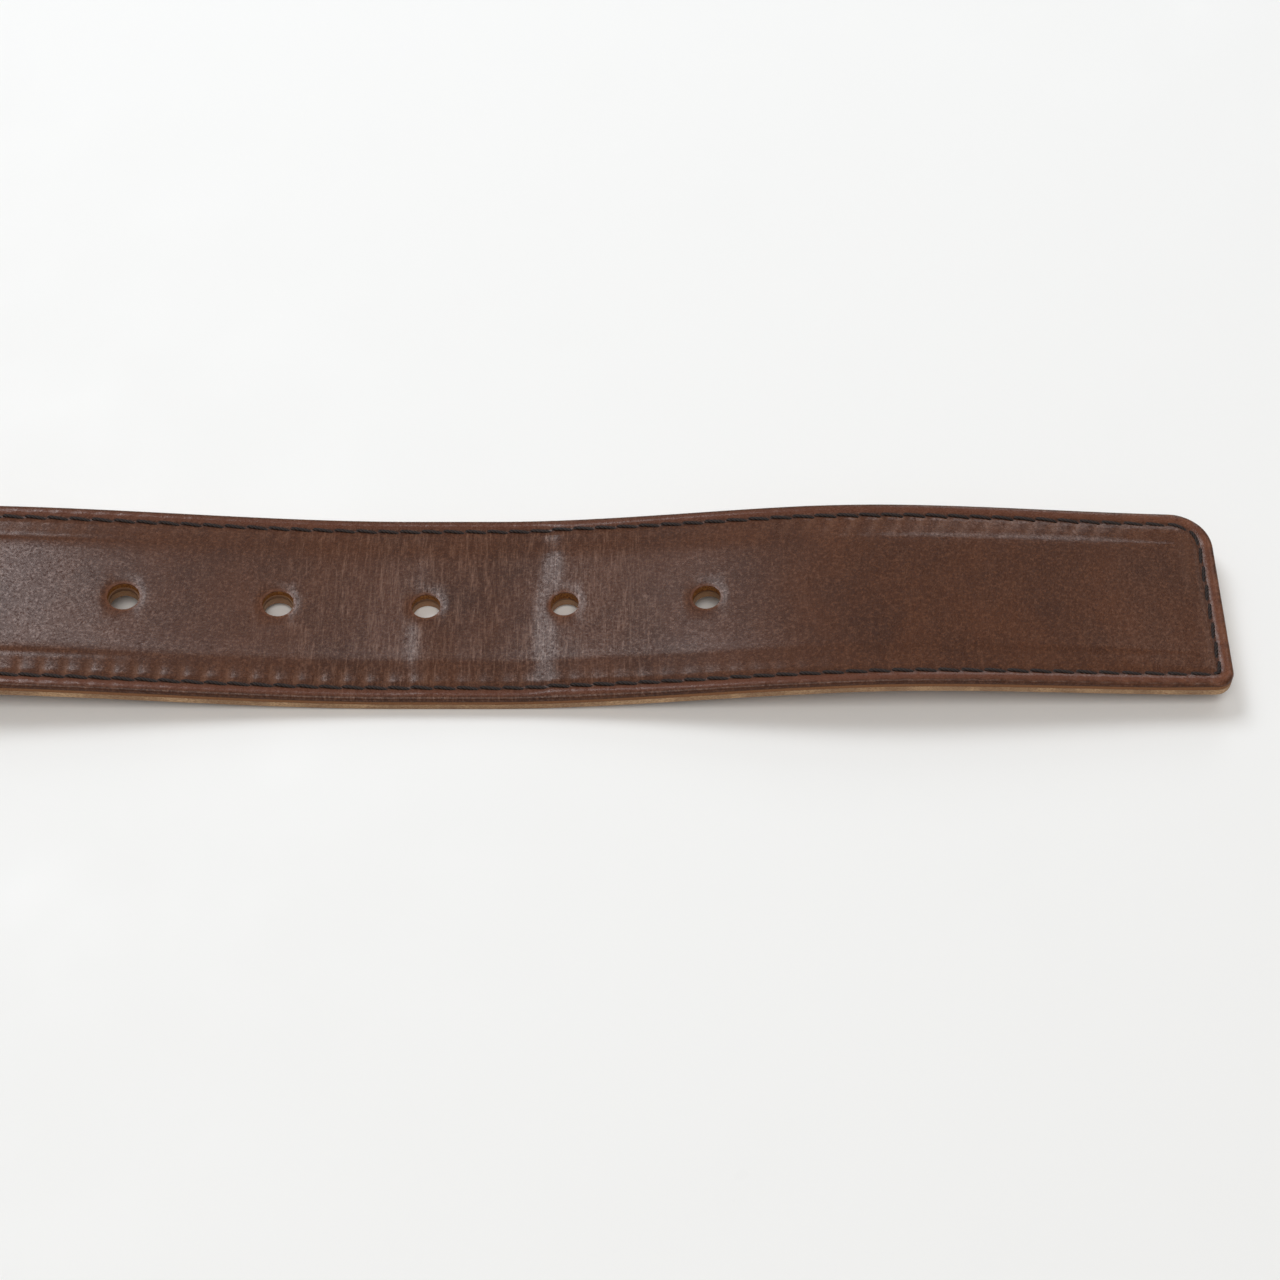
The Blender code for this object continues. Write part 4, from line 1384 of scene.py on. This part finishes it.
@dataclass
class KeeperLoop:
    """The leather loop that holds the tail: a strip closed under the strap, with burnished edges."""

    sizes: StrapSizes
    end: Matrix
    side_gap: float = 0.6 * MM
    passage: float = 4.6 * MM
    corner: float = 2.4 * MM
    edge_radius: float = 0.4 * MM

    def outline(self, inwards: float) -> list[tuple[float, float]]:
        """The loop's closed outline in N and Y, moved inwards.

        Args:
            inwards: How far it is moved.

        Returns:
            The outline's points.
        """
        sizes = self.sizes
        low = sizes.flap_top - sizes.bar_n - sizes.keeper_thickness + inwards
        high = sizes.face - sizes.bar_n + self.passage + sizes.keeper_thickness - inwards
        half = sizes.half_width + self.side_gap + sizes.keeper_thickness - inwards
        bend = self.corner - inwards
        corners = (
            ((high - bend, half - bend), 0),
            ((low + bend, half - bend), 90),
            ((low + bend, -half + bend), 180),
            ((high - bend, -half + bend), 270),
        )
        points = []
        for index, (centre, start) in enumerate(corners):
            bow = arc(centre, bend, start, start + 90, 8)
            points += bow
            nxt = corners[(index + 1) % 4]
            first = arc(nxt[0], bend, nxt[1], nxt[1] + 90, 8)[0]
            cuts = 24 if index % 2 else 6
            (n0, y0), (n1, y1) = bow[-1], first
            points += [
                (n0 + (n1 - n0) * step / cuts, y0 + (y1 - y0) * step / cuts)
                for step in range(1, cuts)
            ]
        return points

    def build(self, finish: bpy.types.Material) -> bpy.types.Object:
        """Makes the loop.

        Args:
            finish: The waxed leather.

        Returns:
            The finished piece.
        """
        sizes = self.sizes
        half, soft = sizes.keeper_width / 2, self.edge_radius
        outer, inner = self.outline(0), self.outline(sizes.keeper_thickness)
        across = [(half, soft), (half - soft * 0.13, soft * 0.5), (half - soft * 0.5, soft * 0.13)]
        across += [(half - soft, 0), (2.6 * MM, 0), (0, 0)]
        profile = [(w, d) for w, d in across] + [(-w, d) for w, d in across[-2::-1]]
        wall = sizes.keeper_thickness
        rings = [(w, d) for w, d in profile] + [(w, wall - d) for w, d in profile[::-1]]
        shape = bmesh.new()
        loops = []
        depths = []
        for w, d in rings:
            share = d / wall
            loop = [
                shape.verts.new((w, y0 + (y1 - y0) * share, x0 + (x1 - x0) * share))
                for (x0, y0), (x1, y1) in zip(outer, inner)
            ]
            loops.append([shape.edges.new((loop[i - 1], loop[i])) for i in range(len(loop))])
            depths += [share] * len(loop)
        for index in range(len(loops)):
            bmesh.ops.bridge_loops(shape, edges=loops[index - 1] + loops[index])
        bmesh.ops.translate(shape, verts=shape.verts, vec=(-sizes.keeper_from_bar, 0, 0))
        flat = [(vert.co.x, vert.co.y, vert.co.z) for vert in shape.verts]
        bmesh.ops.transform(shape, matrix=self.end, verts=shape.verts)
        bmesh.ops.recalc_face_normals(shape, faces=shape.faces)
        piece = finished(shape, "keeper_loop", finish, crease=50)
        places = np.array(flat)
        centre = np.array([-sizes.keeper_from_bar, 0, 0])
        off = places - centre
        around = np.tile(np.arange(len(outer)) * 1.3 * MM, len(rings))
        add_values(piece.data, "flat", np.stack([around + 0.3, off[:, 0], np.array(depths) * MM], 1) / MM)
        add_values(piece.data, "inset", (half - np.abs(off[:, 0])) / MM)
        add_values(piece.data, "rim", np.full(len(off), 9.0))
        add_values(piece.data, "depth", np.clip((np.array(depths) - 0.25) * 1.4, 0, 1))
        return piece


def linear(red: float, green: float, blue: float) -> tuple[float, float, float, float]:
    """A colour in linear light from its screen values of 0 to 255."""
    shares = (value / 255 for value in (red, green, blue))
    return (*(s / 12.92 if s <= 0.04045 else ((s + 0.055) / 1.055) ** 2.4 for s in shares), 1.0)


class Nodes:
    """Adds shader nodes to a tree. Where a socket is asked for, a plain value may stand."""

    def __init__(self, tree: bpy.types.NodeTree) -> None:
        """Takes the tree to add to."""
        self.tree = tree

    def fill(self, node: bpy.types.Node, inputs: dict) -> None:
        """Links or sets a node's inputs.

        Args:
            node: The node.
            inputs: Values or sockets by the input's name or number.
        """
        for name, value in inputs.items():
            if isinstance(value, bpy.types.NodeSocket):
                self.tree.links.new(value, node.inputs[name])
            else:
                node.inputs[name].default_value = value

    def add(self, kind: str, inputs: dict | None = None, **settings: object) -> bpy.types.Node:
        """Adds a node.

        Args:
            kind: The node's type, without its ShaderNode.
            inputs: Values or sockets by the input's name or number.
            **settings: The node's own settings.

        Returns:
            The node.
        """
        node = self.tree.nodes.new("ShaderNode" + kind)
        for name, value in settings.items():
            setattr(node, name, value)
        self.fill(node, inputs or {})
        return node

    def math(self, operation: str, first: object, second: object = 0.0) -> bpy.types.NodeSocket:
        """The outcome of one sum."""
        return self.add("Math", {0: first, 1: second}, operation=operation).outputs[0]

    def times(self, first: object, second: object) -> bpy.types.NodeSocket:
        """One value times another."""
        return self.math("MULTIPLY", first, second)

    def plus(self, first: object, second: object) -> bpy.types.NodeSocket:
        """One value plus another."""
        return self.math("ADD", first, second)

    def span(
        self, value: object, low: float, high: float, to_low: float = 0.0, to_high: float = 1.0
    ) -> bpy.types.NodeSocket:
        """A value eased from one span to another and held at its ends."""
        inputs = {"Value": value, "From Min": low, "From Max": high, "To Min": to_low, "To Max": to_high}
        return self.add("MapRange", inputs, interpolation_type="SMOOTHSTEP").outputs["Result"]

    def mix(self, share: object, first: object, second: object, blend: str = "MIX") -> bpy.types.NodeSocket:
        """Two colours mixed."""
        node = self.add("Mix", {0: share, 6: first, 7: second}, data_type="RGBA", blend_type=blend)
        return node.outputs[2]

    def noise(
        self, places: object, scale: float, detail: float = 3.0, rough: float = 0.55
    ) -> bpy.types.NodeSocket:
        """Soft noise from 0 to 1."""
        inputs = {"Vector": places, "Scale": scale, "Detail": detail, "Roughness": rough}
        return self.add("TexNoise", inputs).outputs["Fac"]

    def stretched(self, places: object, scale: tuple[float, float, float]) -> bpy.types.NodeSocket:
        """Places scaled along each axis."""
        return self.add("Mapping", {"Vector": places, "Scale": scale}).outputs["Vector"]

    def value(self, name: str) -> bpy.types.NodeSocket:
        """A number that the mesh keeps for each of its points."""
        return self.add("Attribute", attribute_name=name).outputs["Fac"]

    def vector(self, name: str) -> bpy.types.NodeSocket:
        """A vector that the mesh keeps for each of its points."""
        return self.add("Attribute", attribute_name=name).outputs["Vector"]


def new_group(
    name: str, inputs: Sequence[tuple[str, str, float]], outputs: Sequence[tuple[str, str]]
) -> tuple[bpy.types.NodeTree, bpy.types.NodeOutputs, bpy.types.NodeInputs]:
    """Starts a shader node group.

    Args:
        name: The group's name.
        inputs: Name, kind and starting value of each input.
        outputs: Name and kind of each output.

    Returns:
        The group, with its input and output nodes.
    """
    group = bpy.data.node_groups.new(name, "ShaderNodeTree")
    for label, kind, start in inputs:
        socket = group.interface.new_socket(label, in_out="INPUT", socket_type="NodeSocket" + kind)
        if kind == "Float":
            socket.default_value = start
    for label, kind in outputs:
        group.interface.new_socket(label, in_out="OUTPUT", socket_type="NodeSocket" + kind)
    return group, group.nodes.new("NodeGroupInput").outputs, group.nodes.new("NodeGroupOutput").inputs


def leather_grain() -> bpy.types.NodeTree:
    """The grain of all the leathers: pebbles between fine folds, pores, and a slow drift of tone.

    Returns:
        The node group.
    """
    inputs = (("Places", "Vector", 0), ("Pebble Size", "Float", 1.0), ("Streaks", "Float", 0.0))
    group, given, out = new_group(
        "leather_grain", inputs, (("Height", "Float"), ("Tone", "Float"), ("Pores", "Float"))
    )
    nodes = Nodes(group)
    size = nodes.math("DIVIDE", 1.0, given["Pebble Size"])
    shift = nodes.add("TexNoise", {"Vector": given["Places"], "Scale": 1.3, "Detail": 2.0})
    bent = nodes.add("VectorMath", {0: shift.outputs["Color"], 1: (0.55, 0.55, 0.55)}, operation="MULTIPLY")
    places = nodes.add("VectorMath", {0: given["Places"], 1: bent.outputs[0]}, operation="ADD").outputs[0]
    scaled = nodes.add("VectorMath", {0: places, 3: size}, operation="SCALE").outputs[0]
    cracked = {"Vector": scaled, "Scale": 1.35, "Randomness": 0.95}
    cells = nodes.add("TexVoronoi", cracked, feature="DISTANCE_TO_EDGE")
    folds = nodes.span(cells.outputs["Distance"], 0.0, 0.22)
    small = nodes.add("TexVoronoi", {"Vector": scaled, "Scale": 3.4, "Randomness": 1.0}, feature="F1")
    fine = nodes.noise(scaled, 5.5, 4.0, 0.62)
    crosswise = nodes.stretched(places, (2.6, 0.42, 1.0))
    streaks = nodes.noise(crosswise, 1.7, 4.0, 0.6)
    pebbles = nodes.times(folds, 0.45)
    with_small = nodes.plus(pebbles, nodes.times(small.outputs["Distance"], -0.22))
    with_fine = nodes.plus(with_small, nodes.times(fine, 0.5))
    streaked = nodes.times(nodes.times(streaks, 1.1), given["Streaks"])
    height = nodes.plus(with_fine, streaked)
    drift = nodes.noise(nodes.stretched(given["Places"], (0.5, 0.35, 0.5)), 0.16, 5.0, 0.6)
    tone = nodes.plus(nodes.times(drift, 0.75), nodes.times(fine, 0.25))
    pores = nodes.math("LESS_THAN", small.outputs["Distance"], 0.16)
    for label, value in (("Height", height), ("Tone", tone), ("Pores", pores)):
        group.links.new(value, out[label])
    return group


def handling_marks() -> bpy.types.NodeTree:
    """Hairline scratches and finger haze on polished metal.

    Returns:
        The node group.
    """
    group, given, out = new_group(
        "handling_marks",
        (("Places", "Vector", 0), ("Density", "Float", 1.0)),
        (("Scratches", "Float"), ("Haze", "Float")),
    )
    nodes = Nodes(group)
    found = None
    for scale in ((9.0, 240.0, 60.0), (200.0, 12.0, 90.0)):
        lines = nodes.noise(nodes.stretched(given["Places"], scale), 4.0, 2.0, 0.5)
        thin = nodes.span(nodes.math("ABSOLUTE", nodes.math("SUBTRACT", lines, 0.5)), 0.0, 0.02, 1.0, 0.0)
        found = thin if found is None else nodes.math("MAXIMUM", found, thin)
    group.links.new(nodes.times(found, given["Density"]), out["Scratches"])
    group.links.new(nodes.noise(given["Places"], 90.0, 5.0, 0.65), out["Haze"])
    return group


def new_material(name: str) -> tuple[bpy.types.Material, Nodes, bpy.types.Node]:
    """Starts a material.

    Args:
        name: The material's name.

    Returns:
        The material, its nodes and its main shader.
    """
    made = bpy.data.materials.new(name)
    made.use_nodes = True
    return made, Nodes(made.node_tree), made.node_tree.nodes["Principled BSDF"]


def placed_group(nodes: Nodes, group: bpy.types.NodeTree, inputs: dict) -> bpy.types.NodeOutputs:
    """Puts a node group in a material and gives its outputs.

    Args:
        nodes: The material's nodes.
        group: The group.
        inputs: Values or sockets by the input's name.

    Returns:
        The outputs of the placed group.
    """
    node = nodes.tree.nodes.new("ShaderNodeGroup")
    node.node_tree = group
    nodes.fill(node, inputs)
    return node.outputs


@dataclass(frozen=True)
class WaxedLeather:
    """The dark brown, waxed and much used face leather."""

    dark: tuple[float, float, float] = (58, 30, 16)
    light: tuple[float, float, float] = (86, 47, 24)
    border: tuple[float, float, float] = (104, 60, 42)
    worn: tuple[float, float, float] = (132, 82, 56)
    polished: tuple[float, float, float] = (112, 68, 41)
    # lighter colour of the scuff lines, and of the painted highlight on the stitch dents
    scuff_and_highlight: tuple[float, float, float] = (134, 94, 72)
    raw: tuple[float, float, float] = (176, 118, 62)
    edge: tuple[float, float, float] = (58, 34, 26)
    roughness: float = 0.50
    grain_height: float = 0.16 * MM

    def make(self, name: str, grain: bpy.types.NodeTree) -> bpy.types.Material:
        """Mixes the finish.

        Args:
            name: The material's name.
            grain: The grain of all the leathers.

        Returns:
            The material.
        """
        made, nodes, shader = new_material(name)
        flat, inset, rim = nodes.vector("flat"), nodes.value("inset"), nodes.value("rim")
        depth = nodes.value("depth")
        split = nodes.add("SeparateXYZ", {0: flat}).outputs
        streaky = nodes.times(nodes.span(split[0], 92, 102), nodes.span(split[0], 150, 172, 1.0, 0.0))
        skin = placed_group(
            nodes, grain, {"Places": flat, "Pebble Size": 0.85, "Streaks": nodes.times(streaky, 1.5)}
        )
        base = nodes.mix(nodes.span(skin["Tone"], 0.2, 0.8), linear(*self.dark), linear(*self.light))
        base = nodes.mix(nodes.times(skin["Pores"], 0.25), base, linear(*self.edge))
        specks = nodes.span(nodes.noise(flat, 1.75, 4.0, 0.78), 0.47, 0.64)
        base = nodes.mix(nodes.times(specks, 0.52), base, linear(*self.polished))
        pits = nodes.span(nodes.noise(flat, 2.1, 3.0, 0.75), 0.36, 0.49, 1.0, 0.0)
        base = nodes.mix(nodes.times(pits, 0.55), base, linear(*self.edge))
        # Lighter crosswise lines: scuffs along the wrinkle ridges, and partly a painted highlight where
        # light would catch them.
        lines = nodes.noise(nodes.stretched(flat, (2.6, 0.26, 1.0)), 0.95, 6.0, 0.7)
        lines = nodes.times(nodes.span(lines, 0.46, 0.76), nodes.plus(nodes.times(streaky, 0.5), 0.12))
        base = nodes.mix(lines, base, linear(*self.scuff_and_highlight))
        # Painted highlight: the stitch dents are painted lighter, as if light caught their slopes.
        dent_highlight = nodes.times(nodes.value("drawn"), 0.42)
        base = nodes.mix(dent_highlight, base, linear(*self.scuff_and_highlight))
        strip = nodes.times(nodes.span(inset, 0.35, 0.9), nodes.span(inset, 1.7, 2.2, 1.0, 0.0))
        base = nodes.mix(nodes.times(strip, 0.6), base, linear(*self.border))
        sewn = nodes.times(nodes.span(inset, 1.9, 2.3), nodes.span(inset, 2.55, 3.1, 1.0, 0.0))
        base = nodes.mix(nodes.times(sewn, 0.55), base, linear(*self.edge))
        patches = nodes.noise(flat, 0.42, 4.0, 0.6)
        near_edge = nodes.span(inset, 0.2, 3.4, 1.0, 0.0)
        tip = nodes.span(split[0], 4, 26, 1.0, 0.0)
        wear = nodes.times(nodes.times(near_edge, tip), nodes.span(patches, 0.42, 0.66))
        base = nodes.mix(nodes.times(wear, 0.5), base, linear(*self.worn))
        ring = nodes.span(rim, 0.1, 0.7, 0.3, 0.0)
        base = nodes.mix(ring, base, linear(*self.worn))
        painted = nodes.span(depth, 0.02, 0.25)
        at_hole = nodes.span(rim, 0.05, 0.4, 1.0, 0.0)
        fibres = nodes.noise(flat, 3.2, 4.0, 0.7)
        flesh = nodes.mix(nodes.span(fibres, 0.35, 0.65), linear(108, 66, 34), linear(*self.raw))
        # The outer leather's cut side: a dark line along its top, partly dyed edge and partly painted shade,
        # then tan below.
        low_side = nodes.mix(nodes.span(depth, 0.15, 0.4), linear(64, 38, 27), linear(140, 96, 64))
        side = nodes.mix(at_hole, low_side, flesh)
        base = nodes.mix(painted, base, side)
        inner = nodes.times(nodes.math("GREATER_THAN", depth, 0.98), nodes.span(inset, 0.1, 0.3))
        base = nodes.mix(inner, base, flesh)
        nodes.fill(shader, {"Base Color": base})
        rough = nodes.plus(nodes.times(skin["Tone"], 0.16), self.roughness - 0.08)
        rough = nodes.math("MAXIMUM", rough, nodes.span(painted, 0.0, 1.0, 0.0, 0.75))
        nodes.fill(shader, {"Roughness": rough})
        nodes.fill(shader, {"Specular IOR Level": 0.14})
        nodes.fill(shader, {"Coat Roughness": 0.22})
        nodes.fill(shader, {"Coat IOR": 1.45})
        grainy = nodes.math("SUBTRACT", nodes.times(specks, 0.34), nodes.times(pits, 0.24))
        grainy = nodes.plus(grainy, nodes.plus(nodes.times(lines, 0.5), 0.30))
        coat = nodes.times(grainy, nodes.span(painted, 0.0, 1.0, 1.0, 0.0))
        nodes.fill(shader, {"Coat Weight": coat})
        height = nodes.plus(skin["Height"], nodes.times(fibres, painted))
        bump = nodes.add("Bump", {"Height": height, "Distance": self.grain_height, "Strength": 1.0})
        nodes.fill(shader, {"Normal": bump.outputs[0]})
        return made


@dataclass(frozen=True)
class UndyedLeather:
    """The tan lining, smooth behind and fibrous at its cut edge."""

    dark: tuple[float, float, float] = (134, 92, 60)
    light: tuple[float, float, float] = (188, 148, 108)
    edge_dark: tuple[float, float, float] = (146, 104, 70)
    edge_light: tuple[float, float, float] = (214, 178, 138)

    def make(self, name: str, grain: bpy.types.NodeTree) -> bpy.types.Material:
        """Mixes the finish.

        Args:
            name: The material's name.
            grain: The grain of all the leathers.

        Returns:
            The material.
        """
        made, nodes, shader = new_material(name)
        flat, inset, depth = nodes.vector("flat"), nodes.value("inset"), nodes.value("depth")
        skin = placed_group(nodes, grain, {"Places": flat, "Pebble Size": 0.7, "Streaks": 0.15})
        base = nodes.mix(nodes.span(skin["Tone"], 0.3, 0.7), linear(*self.dark), linear(*self.light))
        base = nodes.mix(nodes.times(skin["Pores"], 0.3), base, linear(*self.dark))
        fibres = nodes.noise(nodes.stretched(flat, (1.6, 1.6, 5.0)), 1.7, 5.0, 0.7)
        cut = nodes.mix(nodes.span(fibres, 0.34, 0.64), linear(*self.edge_dark), linear(*self.edge_light))
        slow = nodes.noise(flat, 0.11, 3.0, 0.5)
        cut = nodes.mix(nodes.span(slow, 0.42, 0.62, 0.45, 0.0), cut, linear(104, 68, 46))
        at_edge = nodes.span(inset, 0.12, 0.45, 1.0, 0.0)
        seam = nodes.times(nodes.span(depth, 0.86, 1.0), at_edge)
        cut = nodes.mix(nodes.times(seam, 0.35), cut, linear(90, 58, 40))
        base = nodes.mix(at_edge, base, cut)
        nodes.fill(shader, {"Base Color": base})
        nodes.fill(shader, {"Roughness": nodes.span(at_edge, 0.0, 1.0, 0.52, 0.85)})
        height = nodes.plus(skin["Height"], nodes.times(fibres, nodes.times(at_edge, 2.2)))
        bump = nodes.add("Bump", {"Height": height, "Distance": 0.07 * MM, "Strength": 1.0})
        nodes.fill(shader, {"Normal": bump.outputs[0]})
        return made


@dataclass(frozen=True)
class WaxedThread:
    """Black waxed linen thread, laid up of three plies."""

    dark: tuple[float, float, float] = (22, 16, 15)
    light: tuple[float, float, float] = (60, 47, 42)
    plies: int = 3
    lay_length: float = 2.4

    def make(self, name: str) -> bpy.types.Material:
        """Mixes the finish.

        Args:
            name: The material's name.

        Returns:
            The material.
        """
        made, nodes, shader = new_material(name)
        lay = nodes.vector("lay")
        split = nodes.add("SeparateXYZ", {0: lay}).outputs
        angle = nodes.math("ARCTAN2", split[2], split[1])
        turn = nodes.times(split[0], 2 * math.pi / self.lay_length)
        wave = nodes.math("COSINE", nodes.times(nodes.plus(angle, turn), float(self.plies)))
        fibres = nodes.noise(nodes.stretched(lay, (4.0, 9.0, 9.0)), 2.2, 3.0, 0.6)
        # Painted shade: each ply's crest is painted lighter and the grooves between the plies darker, with
        # random fibre tone on top.
        strand = nodes.plus(nodes.times(wave, 0.5), 0.5)
        painted_ply_shade = nodes.times(strand, nodes.span(fibres, 0.2, 0.8, 0.4, 1.0))
        nodes.fill(shader, {"Base Color": nodes.mix(painted_ply_shade, linear(*self.dark), linear(*self.light))})
        nodes.fill(shader, {"Roughness": nodes.span(fibres, 0.3, 0.7, 0.5, 0.75)})
        nodes.fill(shader, {"Specular IOR Level": 0.25})
        height = nodes.plus(strand, nodes.times(fibres, 0.4))
        bump = nodes.add("Bump", {"Height": height, "Distance": 0.08 * MM, "Strength": 1.0})
        nodes.fill(shader, {"Normal": bump.outputs[0]})
        return made


@dataclass(frozen=True)
class PlatedMetal:
    """Nickel plate, polished and a little handled."""

    colour: tuple[float, float, float] = (205, 200, 190)
    tarnish: tuple[float, float, float] = (168, 158, 142)
    roughness: float = 0.16
    scratches: float = 0.5

    def make(self, name: str, marks: bpy.types.NodeTree) -> bpy.types.Material:
        """Mixes the finish.

        Args:
            name: The material's name.
            marks: The scratches and haze of both metals.

        Returns:
            The material.
        """
        made, nodes, shader = new_material(name)
        places = nodes.add("TexCoord").outputs["Object"]
        worn = placed_group(nodes, marks, {"Places": places, "Density": self.scratches})
        dull = nodes.span(worn["Haze"], 0.45, 0.75)
        base = nodes.mix(dull, linear(*self.colour), linear(*self.tarnish))
        nodes.fill(shader, {"Base Color": base})
        nodes.fill(shader, {"Metallic": 1.0})
        rough = nodes.plus(nodes.times(dull, 0.12), self.roughness)
        rough = nodes.plus(rough, nodes.times(worn["Scratches"], 0.12))
        nodes.fill(shader, {"Roughness": rough})
        bump = nodes.add("Bump", {"Height": worn["Scratches"], "Distance": 0.01 * MM, "Strength": 0.6})
        bump.invert = True
        nodes.fill(shader, {"Normal": bump.outputs[0]})
        return made


class Board(Enum):
    """The two tones of the pressed leather fibre board of the filler."""

    DARK = (96, 66, 44)
    LIGHT = (140, 104, 74)


def filler_board(grain: bpy.types.NodeTree) -> bpy.types.Material:
    """The pressed board that pads the strap, seen only through the holes.

    Args:
        grain: The grain of all the leathers.

    Returns:
        The material.
    """
    made, nodes, shader = new_material("filler_board_pressed")
    places = nodes.stretched(nodes.add("TexCoord").outputs["Object"], (1000, 1000, 1000))
    skin = placed_group(nodes, grain, {"Places": places, "Pebble Size": 0.6, "Streaks": 0.0})
    dark, light = linear(*Board.DARK.value), linear(*Board.LIGHT.value)
    base = nodes.mix(nodes.span(skin["Tone"], 0.3, 0.7), dark, light)
    nodes.fill(shader, {"Base Color": base})
    nodes.fill(shader, {"Roughness": nodes.span(skin["Tone"], 0.0, 1.0, 0.75, 0.95)})
    bump = nodes.add("Bump", {"Height": skin["Height"], "Distance": 0.05 * MM, "Strength": 1.0})
    nodes.fill(shader, {"Normal": bump.outputs[0]})
    return made


@dataclass
class Studio:
    """The white table, the soft lights and the camera."""

    target: tuple[float, float, float] = (0.1711, -0.1357, 0.002)
    elevation: float = math.radians(54.5)
    distance: float = 0.424
    lens: float = 70.0

    def camera(self) -> None:
        """Stands the camera in front of the tail and over it."""
        data = bpy.data.cameras.new("studio_camera")
        data.lens, data.sensor_width, data.clip_start = self.lens, 36.0, 0.01
        camera = bpy.data.objects.new("studio_camera", data)
        away = Vector((0, -math.cos(self.elevation), math.sin(self.elevation)))
        camera.location = Vector(self.target) + away * self.distance
        camera.rotation_euler = (-away).to_track_quat("-Z", "Y").to_euler()
        bpy.context.scene.collection.objects.link(camera)
        bpy.context.scene.camera = camera

    def light(
        self, name: str, azimuth: float, elevation: float, distance: float, size: float, power: float
    ) -> None:
        """Hangs a soft square light that faces the tail.

        Args:
            name: The light's name.
            azimuth: Degrees to the right of straight behind the belt.
            elevation: Degrees over the table.
            distance: Metres from the target.
            size: The light's side in metres.
            power: Its watts.
        """
        data = bpy.data.lights.new(name, "AREA")
        data.shape, data.size, data.energy = "SQUARE", size, power
        data.color = (0.90, 0.95, 1.0) if "window" in name else (1.0, 0.97, 0.93)
        light = bpy.data.objects.new(name, data)
        turn, rise = math.radians(azimuth), math.radians(elevation)
        way = Vector((math.sin(turn) * math.cos(rise), math.cos(turn) * math.cos(rise), math.sin(rise)))
        light.location = Vector(self.target) + way * distance
        light.rotation_euler = (-way).to_track_quat("-Z", "Y").to_euler()
        bpy.context.scene.collection.objects.link(light)

    def floor(self, low: float) -> None:
        """Lays the table top under the belt.

        Args:
            low: The belt's lowest height.
        """
        shape = bmesh.new()
        bmesh.ops.create_grid(shape, x_segments=4, y_segments=4, size=4.0)
        bmesh.ops.translate(shape, verts=shape.verts, vec=(0, 0, low))
        made, nodes, shader = new_material("white_table")
        places = nodes.add("TexCoord").outputs["Object"]
        tone = nodes.mix(nodes.noise(places, 2.0, 2.0), linear(243, 243, 242), linear(241, 240, 238))
        nodes.fill(shader, {"Base Color": tone})
        nodes.fill(shader, {"Roughness": nodes.noise(places, 40.0)})
        nodes.fill(shader, {"Specular IOR Level": 0.1})
        finished(shape, "table_top", made)

    def set_up(self, low: float) -> None:
        """Makes the studio around the belt.

        Args:
            low: The belt's lowest height.
        """
        scene = bpy.context.scene
        scene.view_settings.view_transform = "Standard"
        world = bpy.data.worlds.new("studio_world")
        world.use_nodes = True
        sky = world.node_tree.nodes["Background"]
        sky.inputs["Color"].default_value = (1.0, 0.99, 0.98, 1)
        sky.inputs["Strength"].default_value = 0.26
        scene.world = world
        self.floor(low)
        self.light("back_left_window", -36, 51, 1.3, 0.58, 8.6)
        self.light("back_right_panel", 48, 46, 1.5, 0.5, 1.2)
        self.light("low_back_window", 17, 27, 1.3, 0.42, 1.8)
        self.light("overhead_fill", 180, 68, 1.6, 1.0, 10.5)
        self.camera()


def corners(box: tuple[Vector, Vector]) -> list[list[float]]:
    """A box as plain lists."""
    return [[float(value) for value in corner] for corner in box]


def main() -> None:
    """Builds the belt's looks around the frame."""
    logging.basicConfig(level=logging.INFO, format="%(name)s: %(message)s")
    cad_box = corners(cad_bounds)
    sizes = StrapSizes()
    route = LaidStrap(sizes)
    end = route.end_matrix()
    grain, marks = leather_grain(), handling_marks()
    waxed = WaxedLeather().make("waxed_brown_leather", grain)
    thread = WaxedThread().make("waxed_black_thread")
    nickel = PlatedMetal().make("polished_nickel", marks)
    steel = PlatedMetal(roughness=0.24, scratches=0.8).make("turned_nickel", marks)

    outer = OuterLeather(sizes, route)
    hand_over(outer.build(waxed), "strap", ("outer_leather",))
    lining = Lining(sizes, route)
    undyed = UndyedLeather().make("undyed_leather", grain)
    hand_over(lining.build(undyed), "strap", ("lining_leather",))
    stitches = Stitches(sizes)
    face = stitches.build("face_stitches", thread, route.lay_outer, outer.thread_seat, 1)
    hand_over(face, "strap", ("face_thread",))
    back = stitches.build("back_stitches", thread, route.at, lining.thread_seat, -1)
    hand_over(back, "strap", ("back_thread",))

    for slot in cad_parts["filler_strip"].material_slots:
        slot.material = filler_board(grain)

    buckle = Buckle(sizes, end)
    hand_over(buckle.frame(nickel), "buckle", ("buckle_frame",))
    hand_over(buckle.bar(nickel), "buckle", ("buckle_bar",))
    hand_over(buckle.prong(nickel), "prong", ("prong",))
    nodes = ("front_screw_post", "front_screw", "rear_screw_post", "rear_screw")
    for piece, node in zip(Screws(sizes, end).build(steel), nodes):
        hand_over(piece, "strap", (node,))
    hand_over(KeeperLoop(sizes, end).build(waxed), "keeper", ("keeper",))

    Studio().set_up(cad_box[0][2])


if __name__ == "__main__":
    main()
